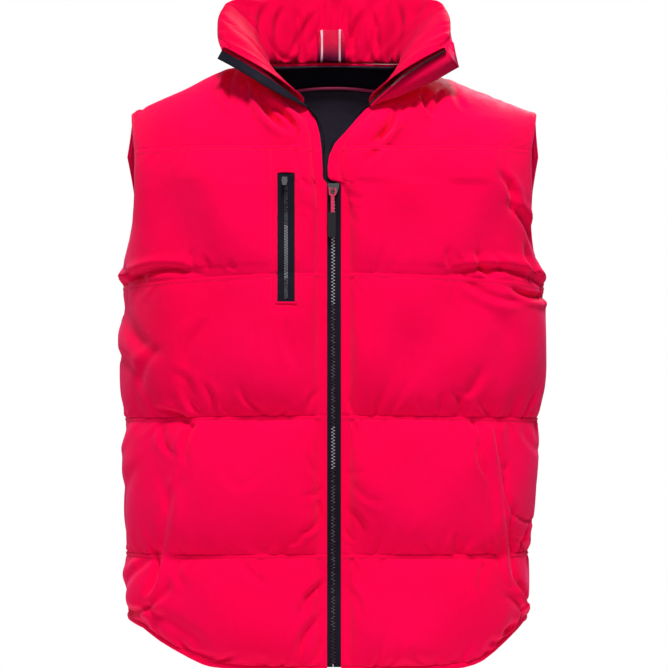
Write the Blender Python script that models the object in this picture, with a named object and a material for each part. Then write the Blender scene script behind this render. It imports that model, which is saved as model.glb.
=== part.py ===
# A quilted, padded bodywarmer worn open at the neck: two fronts and a back in five puffed bands,
# a lining, a high collar folded outward, a front zip with its slider and pull, a zipped chest
# pocket and two hand-pocket welts. The front faces -Y, up is +Z and the wearer's right is at -X.
# The origin is the point between the shoulders, at the height where the neck begins.
import math

import bpy
import numpy as np

# ---------------------------------------------------------------- sizes, in metres
SEAM_GAP = 0.0006            # between two pieces that are sewn together
EDGE_THICK = 0.004           # a padded panel where it is stitched flat
LINING_THICK = 0.0012
LINING_CLEAR = 0.0010        # between a panel's inner face and the lining at an edge
LINING_DROP = 0.0068         # how much farther in the lining hangs away from the edges
ROUND_POWER = 2.4            # how square a level cut through the body is
TAPE_THICK = 0.001
ZIP_HALF = 0.0078            # half of the black strip that shows between the fronts
ZIP_TOP = -0.131
OPEN_TAPE = 0.0040           # how much of each tape shows above the slider
LEAF_CLEAR = {"right": 0.0010, "left": 0.0016}     # gap between a collar end and its tape
CHAIN_HALF = 0.0030
CHAIN_MIDDLE = -0.0010
NECK_HALF = 0.083            # from the middle of the back to the neck end of a shoulder seam
NECK_BACK = 0.066            # how far behind the shoulder line the neck seam passes
NECK_HEIGHT = 0.024
SHOULDER_NECK = 0.018        # height of the shoulder seam at the neck
SHOULDER_SLOPE = 0.40
SHOULDER_TIP = 0.2375
UNDERARM = -0.2345
COLLAR_START = -0.041        # height at which the collar's ends begin on the fronts
SIDE_REACH = 0.245           # the width over which a seam droops to its side height

# Half width of the body and its depth to the front and to the back, by height.
BODY = (
    # height, half_width_right, half_width_left, front_depth, back_depth
    (-0.700, 0.2400, 0.2240, 0.1160, 0.1150),
    (-0.552, 0.2420, 0.2260, 0.1170, 0.1090),
    (-0.479, 0.2400, 0.2290, 0.1175, 0.1070),
    (-0.395, 0.2440, 0.2380, 0.1180, 0.1060),
    (-0.323, 0.2435, 0.2415, 0.1195, 0.1100),
    (-0.271, 0.2440, 0.2440, 0.1200, 0.1135),
    (-0.246, 0.2470, 0.2460, 0.1205, 0.1150),
    (-0.215, 0.2480, 0.2390, 0.1205, 0.1170),
    (-0.180, 0.2490, 0.2430, 0.1205, 0.1180),
    (-0.140, 0.2520, 0.2500, 0.1200, 0.1180),
    (-0.090, 0.2590, 0.2560, 0.1180, 0.1150),
    (0.060, 0.2620, 0.2600, 0.1170, 0.1120),
)

# Stitch lines around the body, from the hem up: height in the middle and at the sides.
HEM_LINE = (
    # distance from the middle, height on the right, height on the left
    (0.000, -0.6800, -0.6800),
    (0.100, -0.6785, -0.6795),
    (0.148, -0.6735, -0.6790),
    (0.160, -0.6690, -0.6775),
    (0.185, -0.6560, -0.6605),
    (0.199, -0.6480, -0.6485),
    (0.220, -0.6365, -0.6312),
    (0.230, -0.6333, -0.6250),
    (0.244, -0.6290, -0.6250),
)
HEM_ENDS = (-0.6800, -0.6290)  # its height in the middle and at the sides
SEAMS = (
    # middle, side
    (-0.5520, -0.5570),
    (-0.3945, -0.4000),
    (-0.2330, -0.2465),
    (-0.0907, -0.0907),
)

# How much of the puff is left at the top and at the foot of each band, where a seam is shallow.
HELD = (0.0, 0.0, 0.0, 0.55, 0.0)
HELD_BELOW = (0.0, 0.0, 0.0, 0.0, 0.75)
# The padding of the left shoulder is flatter than that of the right one.
LEFT_SHOULDER = 0.2

# The five bands, from the hem up: puff outward, puff inward, and where the rows lie in a band.
BANDS = (
    # out, inward, rows
    (0.0100, 0.0035, (0.0, 0.12, 0.42, 0.75, 0.93)),
    (0.0120, 0.0040, (0.0, 0.08, 0.28, 0.55, 0.80, 0.95)),
    (0.0120, 0.0040, (0.0, 0.08, 0.28, 0.55, 0.80, 0.95)),
    (0.0110, 0.0040, (0.0, 0.077, 0.20, 0.45, 0.7168, 0.748, 0.84, 0.93)),
    (0.0085, 0.0030, (0.0, 0.10, 0.24, 0.39, 0.62, 0.82, 0.95, 1.0)),
)

# Rows of the lining, which hangs smooth behind the padding.
LINING_ROWS = (
    (0.0, 0.12, 0.42),
    (0.0, 0.55),
    (0.0, 0.55, 0.80),
    (0.0, 0.077, 0.20, 0.45, 0.7168, 0.748, 0.84, 0.93),
    (0.0, 0.10, 0.24, 0.39, 0.62, 0.82, 0.95, 1.0),
)

# How far an armhole's edge lies in front of or behind the side seam, by height.
ARMHOLE = (
    # height, front, back
    (-0.2345, 0.0000, 0.0000),
    (-0.2230, 0.0270, 0.0260),
    (-0.2100, 0.0400, 0.0380),
    (-0.1840, 0.0540, 0.0480),
    (-0.1400, 0.0610, 0.0500),
    (-0.0907, 0.0655, 0.0470),
)

# The inner edge of each front, from the zip through the open neck to the shoulder, by height.
EDGE_RIGHT = (
    # height, distance from the middle
    (-0.7000, 0.0078),
    (-0.1310, 0.0078),
    (-0.1266, 0.0126),
    (-0.1138, 0.0128),
    (-0.0922, 0.0140),
    (-0.0752, 0.0162),
    (-0.0571, 0.0205),
    (-0.0410, 0.0320),
    (-0.0220, 0.0585),
    (-0.0040, 0.0750),
    (0.0180, 0.0830),
)
EDGE_LEFT = (
    # height, distance from the middle
    (-0.7000, 0.0078),
    (-0.1310, 0.0078),
    (-0.1266, -0.0068),
    (-0.1138, -0.0074),
    (-0.1002, -0.0056),
    (-0.0854, 0.0012),
    (-0.0718, 0.0135),
    (-0.0502, 0.0316),
    (-0.0410, 0.0400),
    (-0.0220, 0.0610),
    (-0.0040, 0.0755),
    (0.0180, 0.0830),
)

# How far each zip tape is turned about the front edge: inward where the fronts meet above the
# slider, and outward where they fall open.
TAPE_TURN = (
    # height, right, left
    (-0.1320, 0.0, 0.0),
    (-0.1270, -1.55, -1.55),
    (-0.1000, -1.50, -1.50),
    (-0.0800, -0.5, -0.6),
    (-0.0600, 0.9, 0.2),
    (-0.0500, 1.9, 0.9),
)

# The collar at nine places from its front end to the middle of the back: the point it bends
# over, and its top edge.
COLLAR = (
    # bend_x, bend_y, bend_z, top_x, top_y, top_z, thickness
    (0.0750, -0.1290, -0.0080, 0.1290, -0.0780, 0.0240, 0.0060),
    (0.0880, -0.1010, 0.0160, 0.1345, -0.0570, 0.0400, 0.0085),
    (0.0930, -0.0680, 0.0340, 0.1360, -0.0350, 0.0550, 0.0110),
    (0.0960, -0.0330, 0.0450, 0.1360, -0.0110, 0.0700, 0.0130),
    (0.0920, 0.0060, 0.0540, 0.1330, 0.0130, 0.0820, 0.0140),
    (0.0760, 0.0420, 0.0640, 0.1150, 0.0470, 0.0980, 0.0140),
    (0.0500, 0.0640, 0.0700, 0.0780, 0.0730, 0.1060, 0.0140),
    (0.0230, 0.0730, 0.0730, 0.0360, 0.0860, 0.1100, 0.0140),
    (0.0000, 0.0750, 0.0740, 0.0000, 0.0890, 0.1110, 0.0140),
)
# Which way each tape points along the open collar, and how wide it shows.
LEAF_TAPE = {
    # side: x, y, z, width
    "right": (-0.40, -0.42, -0.81, 0.0118),
    "left": (0.10, -0.95, 0.20, 0.0040),
}
# How the padded end of the left side of the collar is rolled out: from its edge, by row.
LEFT_END = (
    # share_up, x, y, z
    (0.00, 0.0010, 0.0000, -0.0030),
    (0.15, 0.0020, 0.0005, -0.0060),
    (0.34, 0.0045, 0.0020, -0.0120),
    (0.56, 0.0070, 0.0030, -0.0165),
    (0.78, 0.0105, 0.0030, -0.0185),
    (1.00, 0.0140, 0.0020, -0.0170),
)
LEFT_THICK = (0.012, 0.010, 0.012)  # of the collar at the last three places on the left
COLLAR_ROWS = (0.045, 0.15, 0.34, 0.56, 0.78, 0.93, 1.0)
NECK_COLUMNS = (0.0, 0.018, 0.040, 0.062, 0.083)

# Pocket places: the chest zip between two columns, and the welts between two more.
CHEST_X = (0.0441, 0.0644)
CHEST_TOP = -0.120
CHEST_END = -0.2664
WELT_TOP = -0.405
WELT_END = -0.594
WELT_ALONG = (0.166, 0.196)  # distance around the body from the zip, at its top and its end
WELT_WIDE = 0.019
LIE_CLEAR = 0.0006           # between a panel and what lies on it

COLOURS = {
    # slot: red, green, blue, roughness
    "shell_red": (0.80, 0.004, 0.065, 0.45),
    "collar_red": (0.76, 0.004, 0.060, 0.50),
    "lining_navy": (0.012, 0.014, 0.024, 0.60),
    "tape_black": (0.014, 0.014, 0.022, 0.80),
    "teeth_black": (0.030, 0.030, 0.036, 0.35),
    "pull_raspberry": (0.55, 0.010, 0.080, 0.40),
    "piping_raspberry": (0.33, 0.012, 0.070, 0.60),
    "tab_black": (0.018, 0.018, 0.022, 0.50),
    "loop_red": (0.62, 0.006, 0.050, 0.60),
}


# ---------------------------------------------------------------- helpers
def column(table, index):
    return [row[index] for row in table]


def lookup(table, height, index):
    return np.interp(height, column(table, 0), column(table, index))


def clear_scene():
    for old in list(bpy.data.objects):
        bpy.data.objects.remove(old, do_unlink=True)
    for old in list(bpy.data.meshes):
        bpy.data.meshes.remove(old)
    for old in list(bpy.data.materials):
        bpy.data.materials.remove(old)


def make_materials():
    made = {}
    for name, (red, green, blue, roughness) in COLOURS.items():
        material = bpy.data.materials.new(name)
        material.use_nodes = True
        shader = material.node_tree.nodes["Principled BSDF"]
        shader.inputs["Base Color"].default_value = (red, green, blue, 1.0)
        shader.inputs["Roughness"].default_value = roughness
        made[name] = material
    return made


def add_object(name, points, faces, material, smooth=True):
    mesh = bpy.data.meshes.new(name)
    mesh.from_pydata([tuple(float(c) for c in p) for p in points], [], faces)
    mesh.validate()
    mesh.materials.append(material)
    if smooth:
        mesh.shade_smooth()
    made = bpy.data.objects.new(name, mesh)
    bpy.context.scene.collection.objects.link(made)
    return made


def unit(vectors):
    length = np.linalg.norm(vectors, axis=-1, keepdims=True)
    return vectors / np.maximum(length, 1e-12)


def grid_normals(grid, toward):
    """Normals of a grid of points, turned to the side of the reference vectors."""
    along = np.gradient(grid, axis=0)
    across = np.gradient(grid, axis=1)
    normals = unit(np.cross(along, across))
    flip = np.sign(np.sum(normals * toward, axis=-1, keepdims=True))
    flip[flip == 0] = 1.0
    return normals * flip


def wall(outer, inner):
    """A closed solid between two grids of the same size, the first one facing out."""
    rows, cols = outer.shape[:2]
    count = rows * cols
    points = np.concatenate([outer.reshape(-1, 3), inner.reshape(-1, 3)])
    faces = []
    for r in range(rows - 1):
        for c in range(cols - 1):
            a = r * cols + c
            b = a + 1
            d = a + cols
            e = d + 1
            faces.append((a, b, e, d))
            faces.append((a + count, d + count, e + count, b + count))
    rim = [(0, c) for c in range(cols)]
    rim += [(r, cols - 1) for r in range(1, rows)]
    rim += [(rows - 1, c) for c in range(cols - 2, -1, -1)]
    rim += [(r, 0) for r in range(rows - 2, 0, -1)]
    for i, here in enumerate(rim):
        there = rim[(i + 1) % len(rim)]
        a = here[0] * cols + here[1]
        b = there[0] * cols + there[1]
        faces.append((a, a + count, b + count, b))
    return points, faces


def outward(points, faces):
    """The faces of a closed body, all turned to face out."""
    volume = 0.0
    for face in faces:
        for i in range(1, len(face) - 1):
            a = points[face[0]]
            b = points[face[i]]
            c = points[face[i + 1]]
            volume += float(np.dot(a, np.cross(b, c)))
    if volume > 0:
        return faces
    return [tuple(reversed(face)) for face in faces]


def add_wall(name, outer, inner, material):
    points, faces = wall(outer, inner)
    return add_object(name, points, outward(points, faces), material)


def tube(sections):
    """A closed body through rings of points that all have the same count."""
    rings, count = sections.shape[:2]
    points = sections.reshape(-1, 3)
    faces = []
    for r in range(rings - 1):
        for c in range(count):
            a = r * count + c
            b = r * count + (c + 1) % count
            faces.append((a, b, b + count, a + count))
    faces.append(tuple(range(count - 1, -1, -1)))
    faces.append(tuple((rings - 1) * count + c for c in range(count)))
    return points, faces


def add_tube(name, sections, material):
    points, faces = tube(sections)
    return add_object(name, points, outward(points, faces), material)


def on_grid(grid, row, col):
    """The point of a grid at a fractional row and column."""
    r = min(int(row), grid.shape[0] - 2)
    c = min(int(col), grid.shape[1] - 2)
    v = row - r
    u = col - c
    low = grid[r, c] * (1 - u) + grid[r, c + 1] * u
    high = grid[r + 1, c] * (1 - u) + grid[r + 1, c + 1] * u
    return low * (1 - v) + high * v


# ---------------------------------------------------------------- the form of the body
def shoulder_height(x):
    return SHOULDER_NECK - SHOULDER_SLOPE * (np.abs(x) - NECK_HALF)


def top_line(x, face):
    """Where a panel ends at the top: distance behind the shoulder line, and height."""
    across = np.clip(np.abs(x) / NECK_HALF, 0.0, 1.0)
    if face < 0:
        return np.full_like(across, -SEAM_GAP / 2), shoulder_height(x)
    depth = SEAM_GAP / 2 + NECK_BACK * np.sqrt(1.0 - across ** 2)
    inside = NECK_HEIGHT - (NECK_HEIGHT - SHOULDER_NECK) * across ** 2
    height = np.where(across < 1.0, inside, shoulder_height(x))
    return depth, height


def round_over(x, z, full, face):
    """Depth of the surface at a point, given the body's full depth there."""
    depth, height = top_line(x, face)
    reach = np.interp(np.abs(x), (0.03, SHOULDER_TIP), (0.17, 0.10))
    t = np.clip((height - z) / reach, 0.0, 1.0)
    share = (1.0 - (1.0 - t) ** 1.8) ** (1.0 / 1.8)
    return depth + (full - depth) * share


def line_height(x, line, side):
    """Height of a stitch line, or of the hem, across one side of the body."""
    if line is HEM_ENDS:
        return np.interp(np.abs(x), column(HEM_LINE, 0), column(HEM_LINE, side))
    middle, side = line
    return middle + (side - middle) * (np.abs(x) / SIDE_REACH) ** 2


def full_depth(x, z, face, side):
    half = np.interp(z, column(BODY, 0), column(BODY, side))
    depth = np.interp(z, column(BODY, 0), column(BODY, 3 if face < 0 else 4))
    inside = np.clip(1.0 - (np.abs(x) / half) ** ROUND_POWER, 0.0, 1.0)
    return face * depth * inside ** (1.0 / ROUND_POWER)


def ring_row(low, high, share, face, side, start):
    """A dense level row of a panel from its inner edge to its side seam or armhole."""
    z_side = low[1] * (1 - share) + high[1] * share
    z_mid = low[0] * (1 - share) + high[0] * share
    half = float(lookup(BODY, z_side, side))
    depth = float(lookup(BODY, z_mid, 3 if face < 0 else 4))
    end_depth = SEAM_GAP / 2
    if z_side > UNDERARM:
        end_depth = max(end_depth, float(lookup(ARMHOLE, z_side, 1 if face < 0 else 2)))
    end = math.acos((end_depth / depth) ** (ROUND_POWER / 2))
    begin = math.asin((abs(start) / half) ** (ROUND_POWER / 2)) * (1 if start >= 0 else -1)
    angle = np.linspace(begin, end, 700)
    x = half * np.sign(angle) * np.abs(np.sin(angle)) ** (2 / ROUND_POWER)
    y = face * depth * np.abs(np.cos(angle)) ** (2 / ROUND_POWER)
    z = line_height(x, low, side) * (1 - share) + line_height(x, high, side) * share
    y = round_over(x, z, y, face)
    return np.stack([x, y, z], axis=1)


def along(row):
    """Distance along a dense row, measured from the middle of the body."""
    steps = np.linalg.norm(np.diff(row, axis=0), axis=1)
    total = np.concatenate([[0.0], np.cumsum(steps)])
    return total - np.interp(0.0, row[:, 0], total) if row[0, 0] < 0 else total + row[0, 0]


def sample(row, distance, places):
    return np.stack([np.interp(places, distance, row[:, i]) for i in range(3)], axis=1)


def front_places(row, distance):
    """Columns of a front: the placket, the chest zip, the welt and the side."""
    low = row[len(row) // 2, 2]
    end = distance[-1]
    first = distance[0]
    welt = np.interp(low, (WELT_END, WELT_TOP), (WELT_ALONG[1], WELT_ALONG[0]))
    chest = np.interp(CHEST_X, row[:, 0], distance)
    return np.array([
        first, first + 0.012, chest[0], chest[1], 0.103, 0.149,
        welt, welt + WELT_WIDE, end - 0.032, end - 0.010, end,
    ])


def back_places(distance):
    end = distance[-1]
    inner = np.linspace(0.0, end - 0.040, 6)
    return np.concatenate([inner, [end - 0.012, end]])


def edge_at(edge, share, z_low):
    """The neckline point of a front for one row of the shoulder band."""
    x = 0.03
    z = z_low
    for _ in range(60):
        z = z_low + (float(shoulder_height(x)) - z_low) * share
        x = float(lookup(edge, z, 1))
    return x


def panel_grid(face, side, edge, rows):
    """Points of a front or of half the back, with what the puff of each point needs."""
    lines = (HEM_ENDS,) + SEAMS
    grid = []
    band_of = []
    share_of = []
    for band in range(4):
        for share in rows[band]:
            z_mid = lines[band][0] * (1 - share) + lines[band + 1][0] * share
            start = float(lookup(edge, z_mid, 1)) if face < 0 else 0.0
            row = ring_row(lines[band], lines[band + 1], share, face, side, start)
            distance = along(row)
            if face < 0:
                places = front_places(row, distance)
            else:
                places = back_places(distance)
            grid.append(sample(row, distance, places))
            band_of.append(band)
            share_of.append(share)
    low = SEAMS[-1][0]
    start = float(lookup(edge, low, 1)) if face < 0 else 0.0
    row = ring_row(SEAMS[-1], SEAMS[-1], 0.0, face, side, start)
    distance = along(row)
    if face < 0:
        base = sample(row, distance, front_places(row, distance))
    else:
        base = sample(row, distance, back_places(distance))
    part = (base[:, 0] - base[0, 0]) / (base[-1, 0] - base[0, 0])
    for share in rows[4]:
        outer = base[-1, 0] * (1 - share) + SHOULDER_TIP * share
        if face < 0:
            inner = edge_at(edge, share, low)
            x = inner + (outer - inner) * part
        else:
            top = np.concatenate([
                NECK_COLUMNS,
                np.linspace(NECK_HALF, SHOULDER_TIP, len(part) - len(NECK_COLUMNS) + 1)[1:],
            ])
            x = base[:, 0] * (1 - share) + top * share
        height = top_line(x, face)[1]
        z = low + (height - low) * share
        y = round_over(x, z, full_depth(x, z, face, side), face)
        grid.append(np.stack([x, y, z], axis=1))
        band_of.append(4)
        share_of.append(share)
    return np.array(grid), np.array(band_of), np.array(share_of)


def ramp(distance, start, end):
    t = np.clip((distance - start) / (end - start), 0.0, 1.0)
    return np.sqrt(1.0 - (1.0 - t) ** 2)


def edge_shares(grid, face):
    """How free each point is of the inner edge and of the side or armhole edge."""
    steps = np.linalg.norm(np.diff(grid, axis=1), axis=2)
    total = np.concatenate([np.zeros((len(grid), 1)), np.cumsum(steps, axis=1)], axis=1)
    far = total[:, -1:] - total
    free = ramp(far, 0.002, 0.070)
    if face < 0:
        free = free * ramp(total, 0.011, 0.045)
    return free


def settle_normals(grid, face):
    """Outward normals, straightened where two panels meet."""
    middle = np.array([0.0, 0.0, -0.30])
    toward = grid - middle
    toward[..., 2] *= 0.3
    normals = grid_normals(grid, toward)
    side = grid[:, -1, 2] <= UNDERARM + 0.0001
    normals[side, -1, 1] = 0.0
    top = np.abs(grid[-1, :, 0]) >= NECK_HALF - 0.0001
    normals[-1, top, 1] = 0.0
    if face > 0:
        normals[:, 0, 0] = 0.0
    return unit(normals)


def mirrored(grid):
    return grid * np.array([-1.0, 1.0, 1.0])


def whole_back(right, left):
    return np.concatenate([mirrored(right)[:, :0:-1], left], axis=1)


def panel_faces(grid, normals, band_of, share_of, face, side):
    free = edge_shares(grid, face)
    bulge = (1.0 - (2.0 * share_of - 1.0) ** 2) ** 0.55
    held = np.where(share_of > 0.5, np.array(HELD)[band_of], np.array(HELD_BELOW)[band_of])
    out = np.array(column(BANDS, 0))[band_of] * np.maximum(bulge, held)
    if side == 2:
        out = np.where(band_of == 4, out * (1.0 - (1.0 - LEFT_SHOULDER) * share_of), out)
    inward = np.array(column(BANDS, 1))[band_of] * bulge
    outer = grid + normals * (EDGE_THICK / 2 + out[:, None] * free)[..., None]
    inner = grid - normals * (EDGE_THICK / 2 + inward[:, None] * free)[..., None]
    return outer, inner


def lining_faces(grid, normals, face):
    free = edge_shares(grid, face)
    heights = np.linspace(0.0, 1.0, len(grid))
    ends = ramp(heights, 0.0, 0.12) * ramp(1.0 - heights, 0.0, 0.25)
    drop = EDGE_THICK / 2 + LINING_CLEAR + LINING_DROP * free * ends[:, None]
    outer = grid - normals * drop[..., None]
    inner = grid - normals * (drop + LINING_THICK)[..., None]
    return outer, inner


PANEL_ROWS = tuple(band[2] for band in BANDS)


# ---------------------------------------------------------------- fronts, back and lining
def panel_set(face, side, edge):
    """Base points, normals and faces of one front or one half of the back, and its lining."""
    grid, band_of, share_of = panel_grid(face, side, edge, PANEL_ROWS)
    normals = settle_normals(grid, face)
    outer, inner = panel_faces(grid, normals, band_of, share_of, face, side)
    thin = panel_grid(face, side, edge, LINING_ROWS)[0]
    near, far = lining_faces(thin, settle_normals(thin, face), face)
    return {"grid": grid, "normals": normals, "outer": outer, "inner": inner,
            "lining_near": near, "lining_far": far}


def build_panels(materials):
    red = materials["shell_red"]
    navy = materials["lining_navy"]
    right = panel_set(-1, 1, EDGE_RIGHT)
    right = {key: mirrored(grid) for key, grid in right.items()}
    left = panel_set(-1, 2, EDGE_LEFT)
    for name, data in (("right", right), ("left", left)):
        add_wall("front_" + name, data["outer"], data["inner"], red)
        add_wall("lining_front_" + name, data["lining_near"], data["lining_far"], navy)
    halves = [panel_set(1, side, EDGE_LEFT) for side in (1, 2)]
    back = {key: whole_back(halves[0][key], halves[1][key]) for key in halves[0]}
    add_wall("back", back["outer"], back["inner"], red)
    add_wall("lining_back", back["lining_near"], back["lining_far"], navy)
    return {"right": right, "left": left, "back": back, "lining": back["lining_far"]}


# ---------------------------------------------------------------- hem strip
HEM_SECTION = (
    # outward, downward
    (0.0020, 0.0009),
    (0.0030, 0.0040),
    (0.0012, 0.0080),
    (-0.0030, 0.0080),
    (-0.0048, 0.0040),
    (-0.0040, 0.0009),
)


def build_hem(panels, materials):
    points = np.concatenate([panels["right"]["grid"][0], panels["back"]["grid"][0, 1:-1],
                             panels["left"]["grid"][0, ::-1]])
    normals = np.concatenate([panels["right"]["normals"][0], panels["back"]["normals"][0, 1:-1],
                              panels["left"]["normals"][0, ::-1]])
    level = unit(normals * np.array([1.0, 1.0, 0.0]))
    down = np.array([0.0, 0.0, -1.0])
    rings = [[point + out * o + down * d for o, d in HEM_SECTION]
             for point, out in zip(points, level)]
    add_tube("hem_strip", np.array(rings), materials["shell_red"])


# ---------------------------------------------------------------- collar
def collar_base(panels):
    """The neck seam from the right front's end, round the back, to the left front's end."""
    first = int(np.argmin(np.abs(panels["right"]["grid"][:, 0, 2] - COLLAR_START)))
    right = panels["right"]["grid"][first:, 0]
    left = panels["left"]["grid"][first:, 0]
    back = panels["back"]["grid"][-1]
    inside = [p for p in back if abs(p[0]) < NECK_HALF - 0.0001]
    return np.concatenate([right, np.array(inside), left[::-1]])


def collar_grid(base):
    half = len(base) // 2
    rows = []
    for share in COLLAR_ROWS:
        line = []
        for i, start in enumerate(base):
            entry = COLLAR[i] if i <= half else COLLAR[len(base) - 1 - i]
            back = max(0.0, min(i, len(base) - 1 - i) / half - 0.5) * 2.0
            t = share if share > COLLAR_ROWS[0] else share * (1.0 - 0.5 * back)
            sign = -1.0 if i < half else 1.0
            bend = np.array([entry[0] * sign, entry[1], entry[2]])
            top = np.array([entry[3] * sign, entry[4], entry[5]])
            line.append((1 - t) ** 2 * start + 2 * t * (1 - t) * bend + t * t * top)
        rows.append(line)
    return np.array(rows)


def build_collar(panels, materials):
    base = collar_base(panels)
    grid = collar_grid(base)
    toward = grid - np.array([0.0, -0.01, 0.10])
    normals = grid_normals(grid, toward)
    count = len(base)
    thick = np.array([COLLAR[min(i, count - 1 - i)][6] for i in range(count)])
    thick[-3:] = LEFT_THICK
    shares = np.array(COLLAR_ROWS)
    rise = (shares - shares[0]) / (1.0 - shares[0])
    swell = np.clip(np.sin(np.pi * rise), 0.0, 1.0) ** 0.6
    pad = 0.0020 + swell[:, None] * thick[None, :]
    outer = grid + normals * pad[..., None]
    rolled = [np.interp(shares, column(LEFT_END, 0), column(LEFT_END, i)) for i in (1, 2, 3)]
    outer[:, -1] = grid[:, -1] + np.stack(rolled, axis=1)
    outer[1:, -2] = (outer[1:, -2] + (outer[1:, -1] + outer[1:, -3]) / 2) / 2
    add_wall("collar_outer", outer, grid + normals * 0.0004, materials["collar_red"])
    add_wall("collar_inner", grid, grid - normals * 0.0012, materials["collar_red"])
    return {"grid": grid, "normals": normals, "outer": outer, "inner": grid - normals * 0.0012}


# ---------------------------------------------------------------- zip tapes and chain
def tape_solid(name, inner_rail, outer_rail, normals, material):
    middle = np.stack([inner_rail, outer_rail], axis=1)
    shift = normals[:, None, :] * (TAPE_THICK / 2)
    add_wall(name, middle + shift, middle - shift, material)


def build_zip(panels, collar, materials):
    rows = panels["right"]["grid"]
    stop = int(np.argmin(np.abs(rows[:, 0, 2] - COLLAR_START)))
    for name, sign in (("right", 1.0), ("left", -1.0)):
        data = panels[name]
        edge = data["grid"][:stop, 0]
        normal = data["normals"][:stop, 0]
        path = unit(np.gradient(edge, axis=0))
        inner = []
        outer = []
        for point, out, ahead in zip(edge, normal, path):
            flat = unit(np.cross(ahead, out)) * sign
            flat = flat if flat[0] * sign > 0 else -flat
            turn = float(lookup(TAPE_TURN, point[2], 1 if name == "right" else 2))
            across = flat * math.cos(turn) + out * math.sin(turn)
            start = point - out * 0.0008 + flat * (0.0006 + 0.0006 * abs(math.sin(turn)))
            start = start + out * 0.0045 * math.sin(min(max(turn, 0.0), math.pi / 2))
            if point[2] < ZIP_TOP + 0.0005:
                reach = ZIP_HALF - CHAIN_HALF - TAPE_THICK + sign * CHAIN_MIDDLE
            else:
                reach = OPEN_TAPE
            inner.append(start)
            outer.append(start + across * reach)
        column_index = 0 if name == "right" else -1
        leaf = collar["grid"][:, column_index]
        beside = collar["grid"][:, column_index + (1 if name == "right" else -1)]
        for i in range(1, len(leaf)):
            away = unit(leaf[i] - beside[i])
            start = leaf[i] + away * LEAF_CLEAR[name]
            inner.append(start)
            share = min(1.0, i / 3)
            lean = unit(away * (1 - share) + np.array(LEAF_TAPE[name][:3]) * share)
            outer.append(start + lean * LEAF_TAPE[name][3])
        inner = np.array(inner)
        outer = np.array(outer)
        path = np.gradient(inner, axis=0)
        normals = unit(np.cross(path, outer - inner))
        tape_solid("zip_tape_" + name, inner, outer, normals, materials["tape_black"])
    chain = [p for p in rows[:, 0] if p[2] < ZIP_TOP - 0.012]
    heights = np.array([p[2] for p in chain] + [ZIP_TOP - 0.004])
    depths = np.array([p[1] for p in chain] + [chain[-1][1]])
    left = np.stack([np.full_like(heights, CHAIN_MIDDLE - CHAIN_HALF), depths, heights], axis=1)
    right = np.stack([np.full_like(heights, CHAIN_MIDDLE + CHAIN_HALF), depths, heights], axis=1)
    strip = np.stack([left, right], axis=1)
    front = strip + np.array([0.0, -0.0004, 0.0])
    rear = strip + np.array([0.0, 0.0020, 0.0])
    add_wall("zip_chain", front, rear, materials["teeth_black"])
    return float(front[-1, 0, 1])


def outline_solid(name, outline, near, far, material):
    """A flat body cut to an outline in x and z, between two depths."""
    count = len(outline)
    points = [(x, near, z) for x, z in outline] + [(x, far, z) for x, z in outline]
    faces = [tuple(range(count)), tuple(range(2 * count - 1, count - 1, -1))]
    for i in range(count):
        j = (i + 1) % count
        faces.append((i, i + count, j + count, j))
    points = np.array(points)
    return add_object(name, points, outward(points, faces), material, smooth=False)


def framed_solid(name, outer, hole, near, far, material):
    """A flat ring between an outline and a hole with the same number of corners."""
    count = len(outer)
    points = []
    for depth in (near, far):
        points += [(x, depth, z) for x, z in outer]
        points += [(x, depth, z) for x, z in hole]
    faces = []
    for i in range(count):
        j = (i + 1) % count
        faces.append((i, j, j + count, i + count))
        faces.append((i + 2 * count, i + 3 * count, j + 3 * count, j + 2 * count))
        faces.append((i, i + 2 * count, j + 2 * count, j))
        faces.append((i + count, j + count, j + 3 * count, i + 3 * count))
    points = np.array(points)
    return add_object(name, points, outward(points, faces), material, smooth=False)


# Slider and pull, from the front: half widths, heights and depths.
SLIDER_X = -0.0006
SLIDER_OUTLINE = (
    # x, z below the top of the zip
    (-0.0062, -0.0004),
    (0.0062, -0.0004),
    (0.0066, -0.0030),
    (0.0046, -0.0105),
    (0.0034, -0.0118),
    (-0.0034, -0.0118),
    (-0.0046, -0.0105),
    (-0.0066, -0.0030),
)
SLIDER_PLATE = 0.0020
BRIDGE_HALF = 0.0012
BRIDGE_TOP = -0.0022
BRIDGE_END = -0.0100
BRIDGE_RISE = 0.0052
BRIDGE_BAR = 0.0014
PULL_THICK = 0.0020
PULL_X = -0.0016
PIVOT_DROP = -0.0066         # the pull's top bar, below the top of the zip
PULL_FRAME = (
    (-0.0040, 0.0012), (0.0040, 0.0012), (0.0043, 0.0006), (0.0043, -0.0062),
    (0.0026, -0.0082), (-0.0026, -0.0082), (-0.0043, -0.0062), (-0.0043, 0.0006),
)
PULL_HOLE = (
    (-0.0024, -0.0010), (0.0024, -0.0010), (0.0026, -0.0014), (0.0026, -0.0048),
    (0.0016, -0.0060), (-0.0016, -0.0060), (-0.0026, -0.0048), (-0.0026, -0.0014),
)
SHANK_HALF = 0.0020
SHANK_END = -0.0270
TAB_OUTLINE = (
    (-0.0030, -0.0262), (0.0030, -0.0262), (0.0042, -0.0276), (0.0042, -0.0530),
    (0.0030, -0.0552), (-0.0030, -0.0552), (-0.0046, -0.0530), (-0.0046, -0.0276),
)


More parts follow.
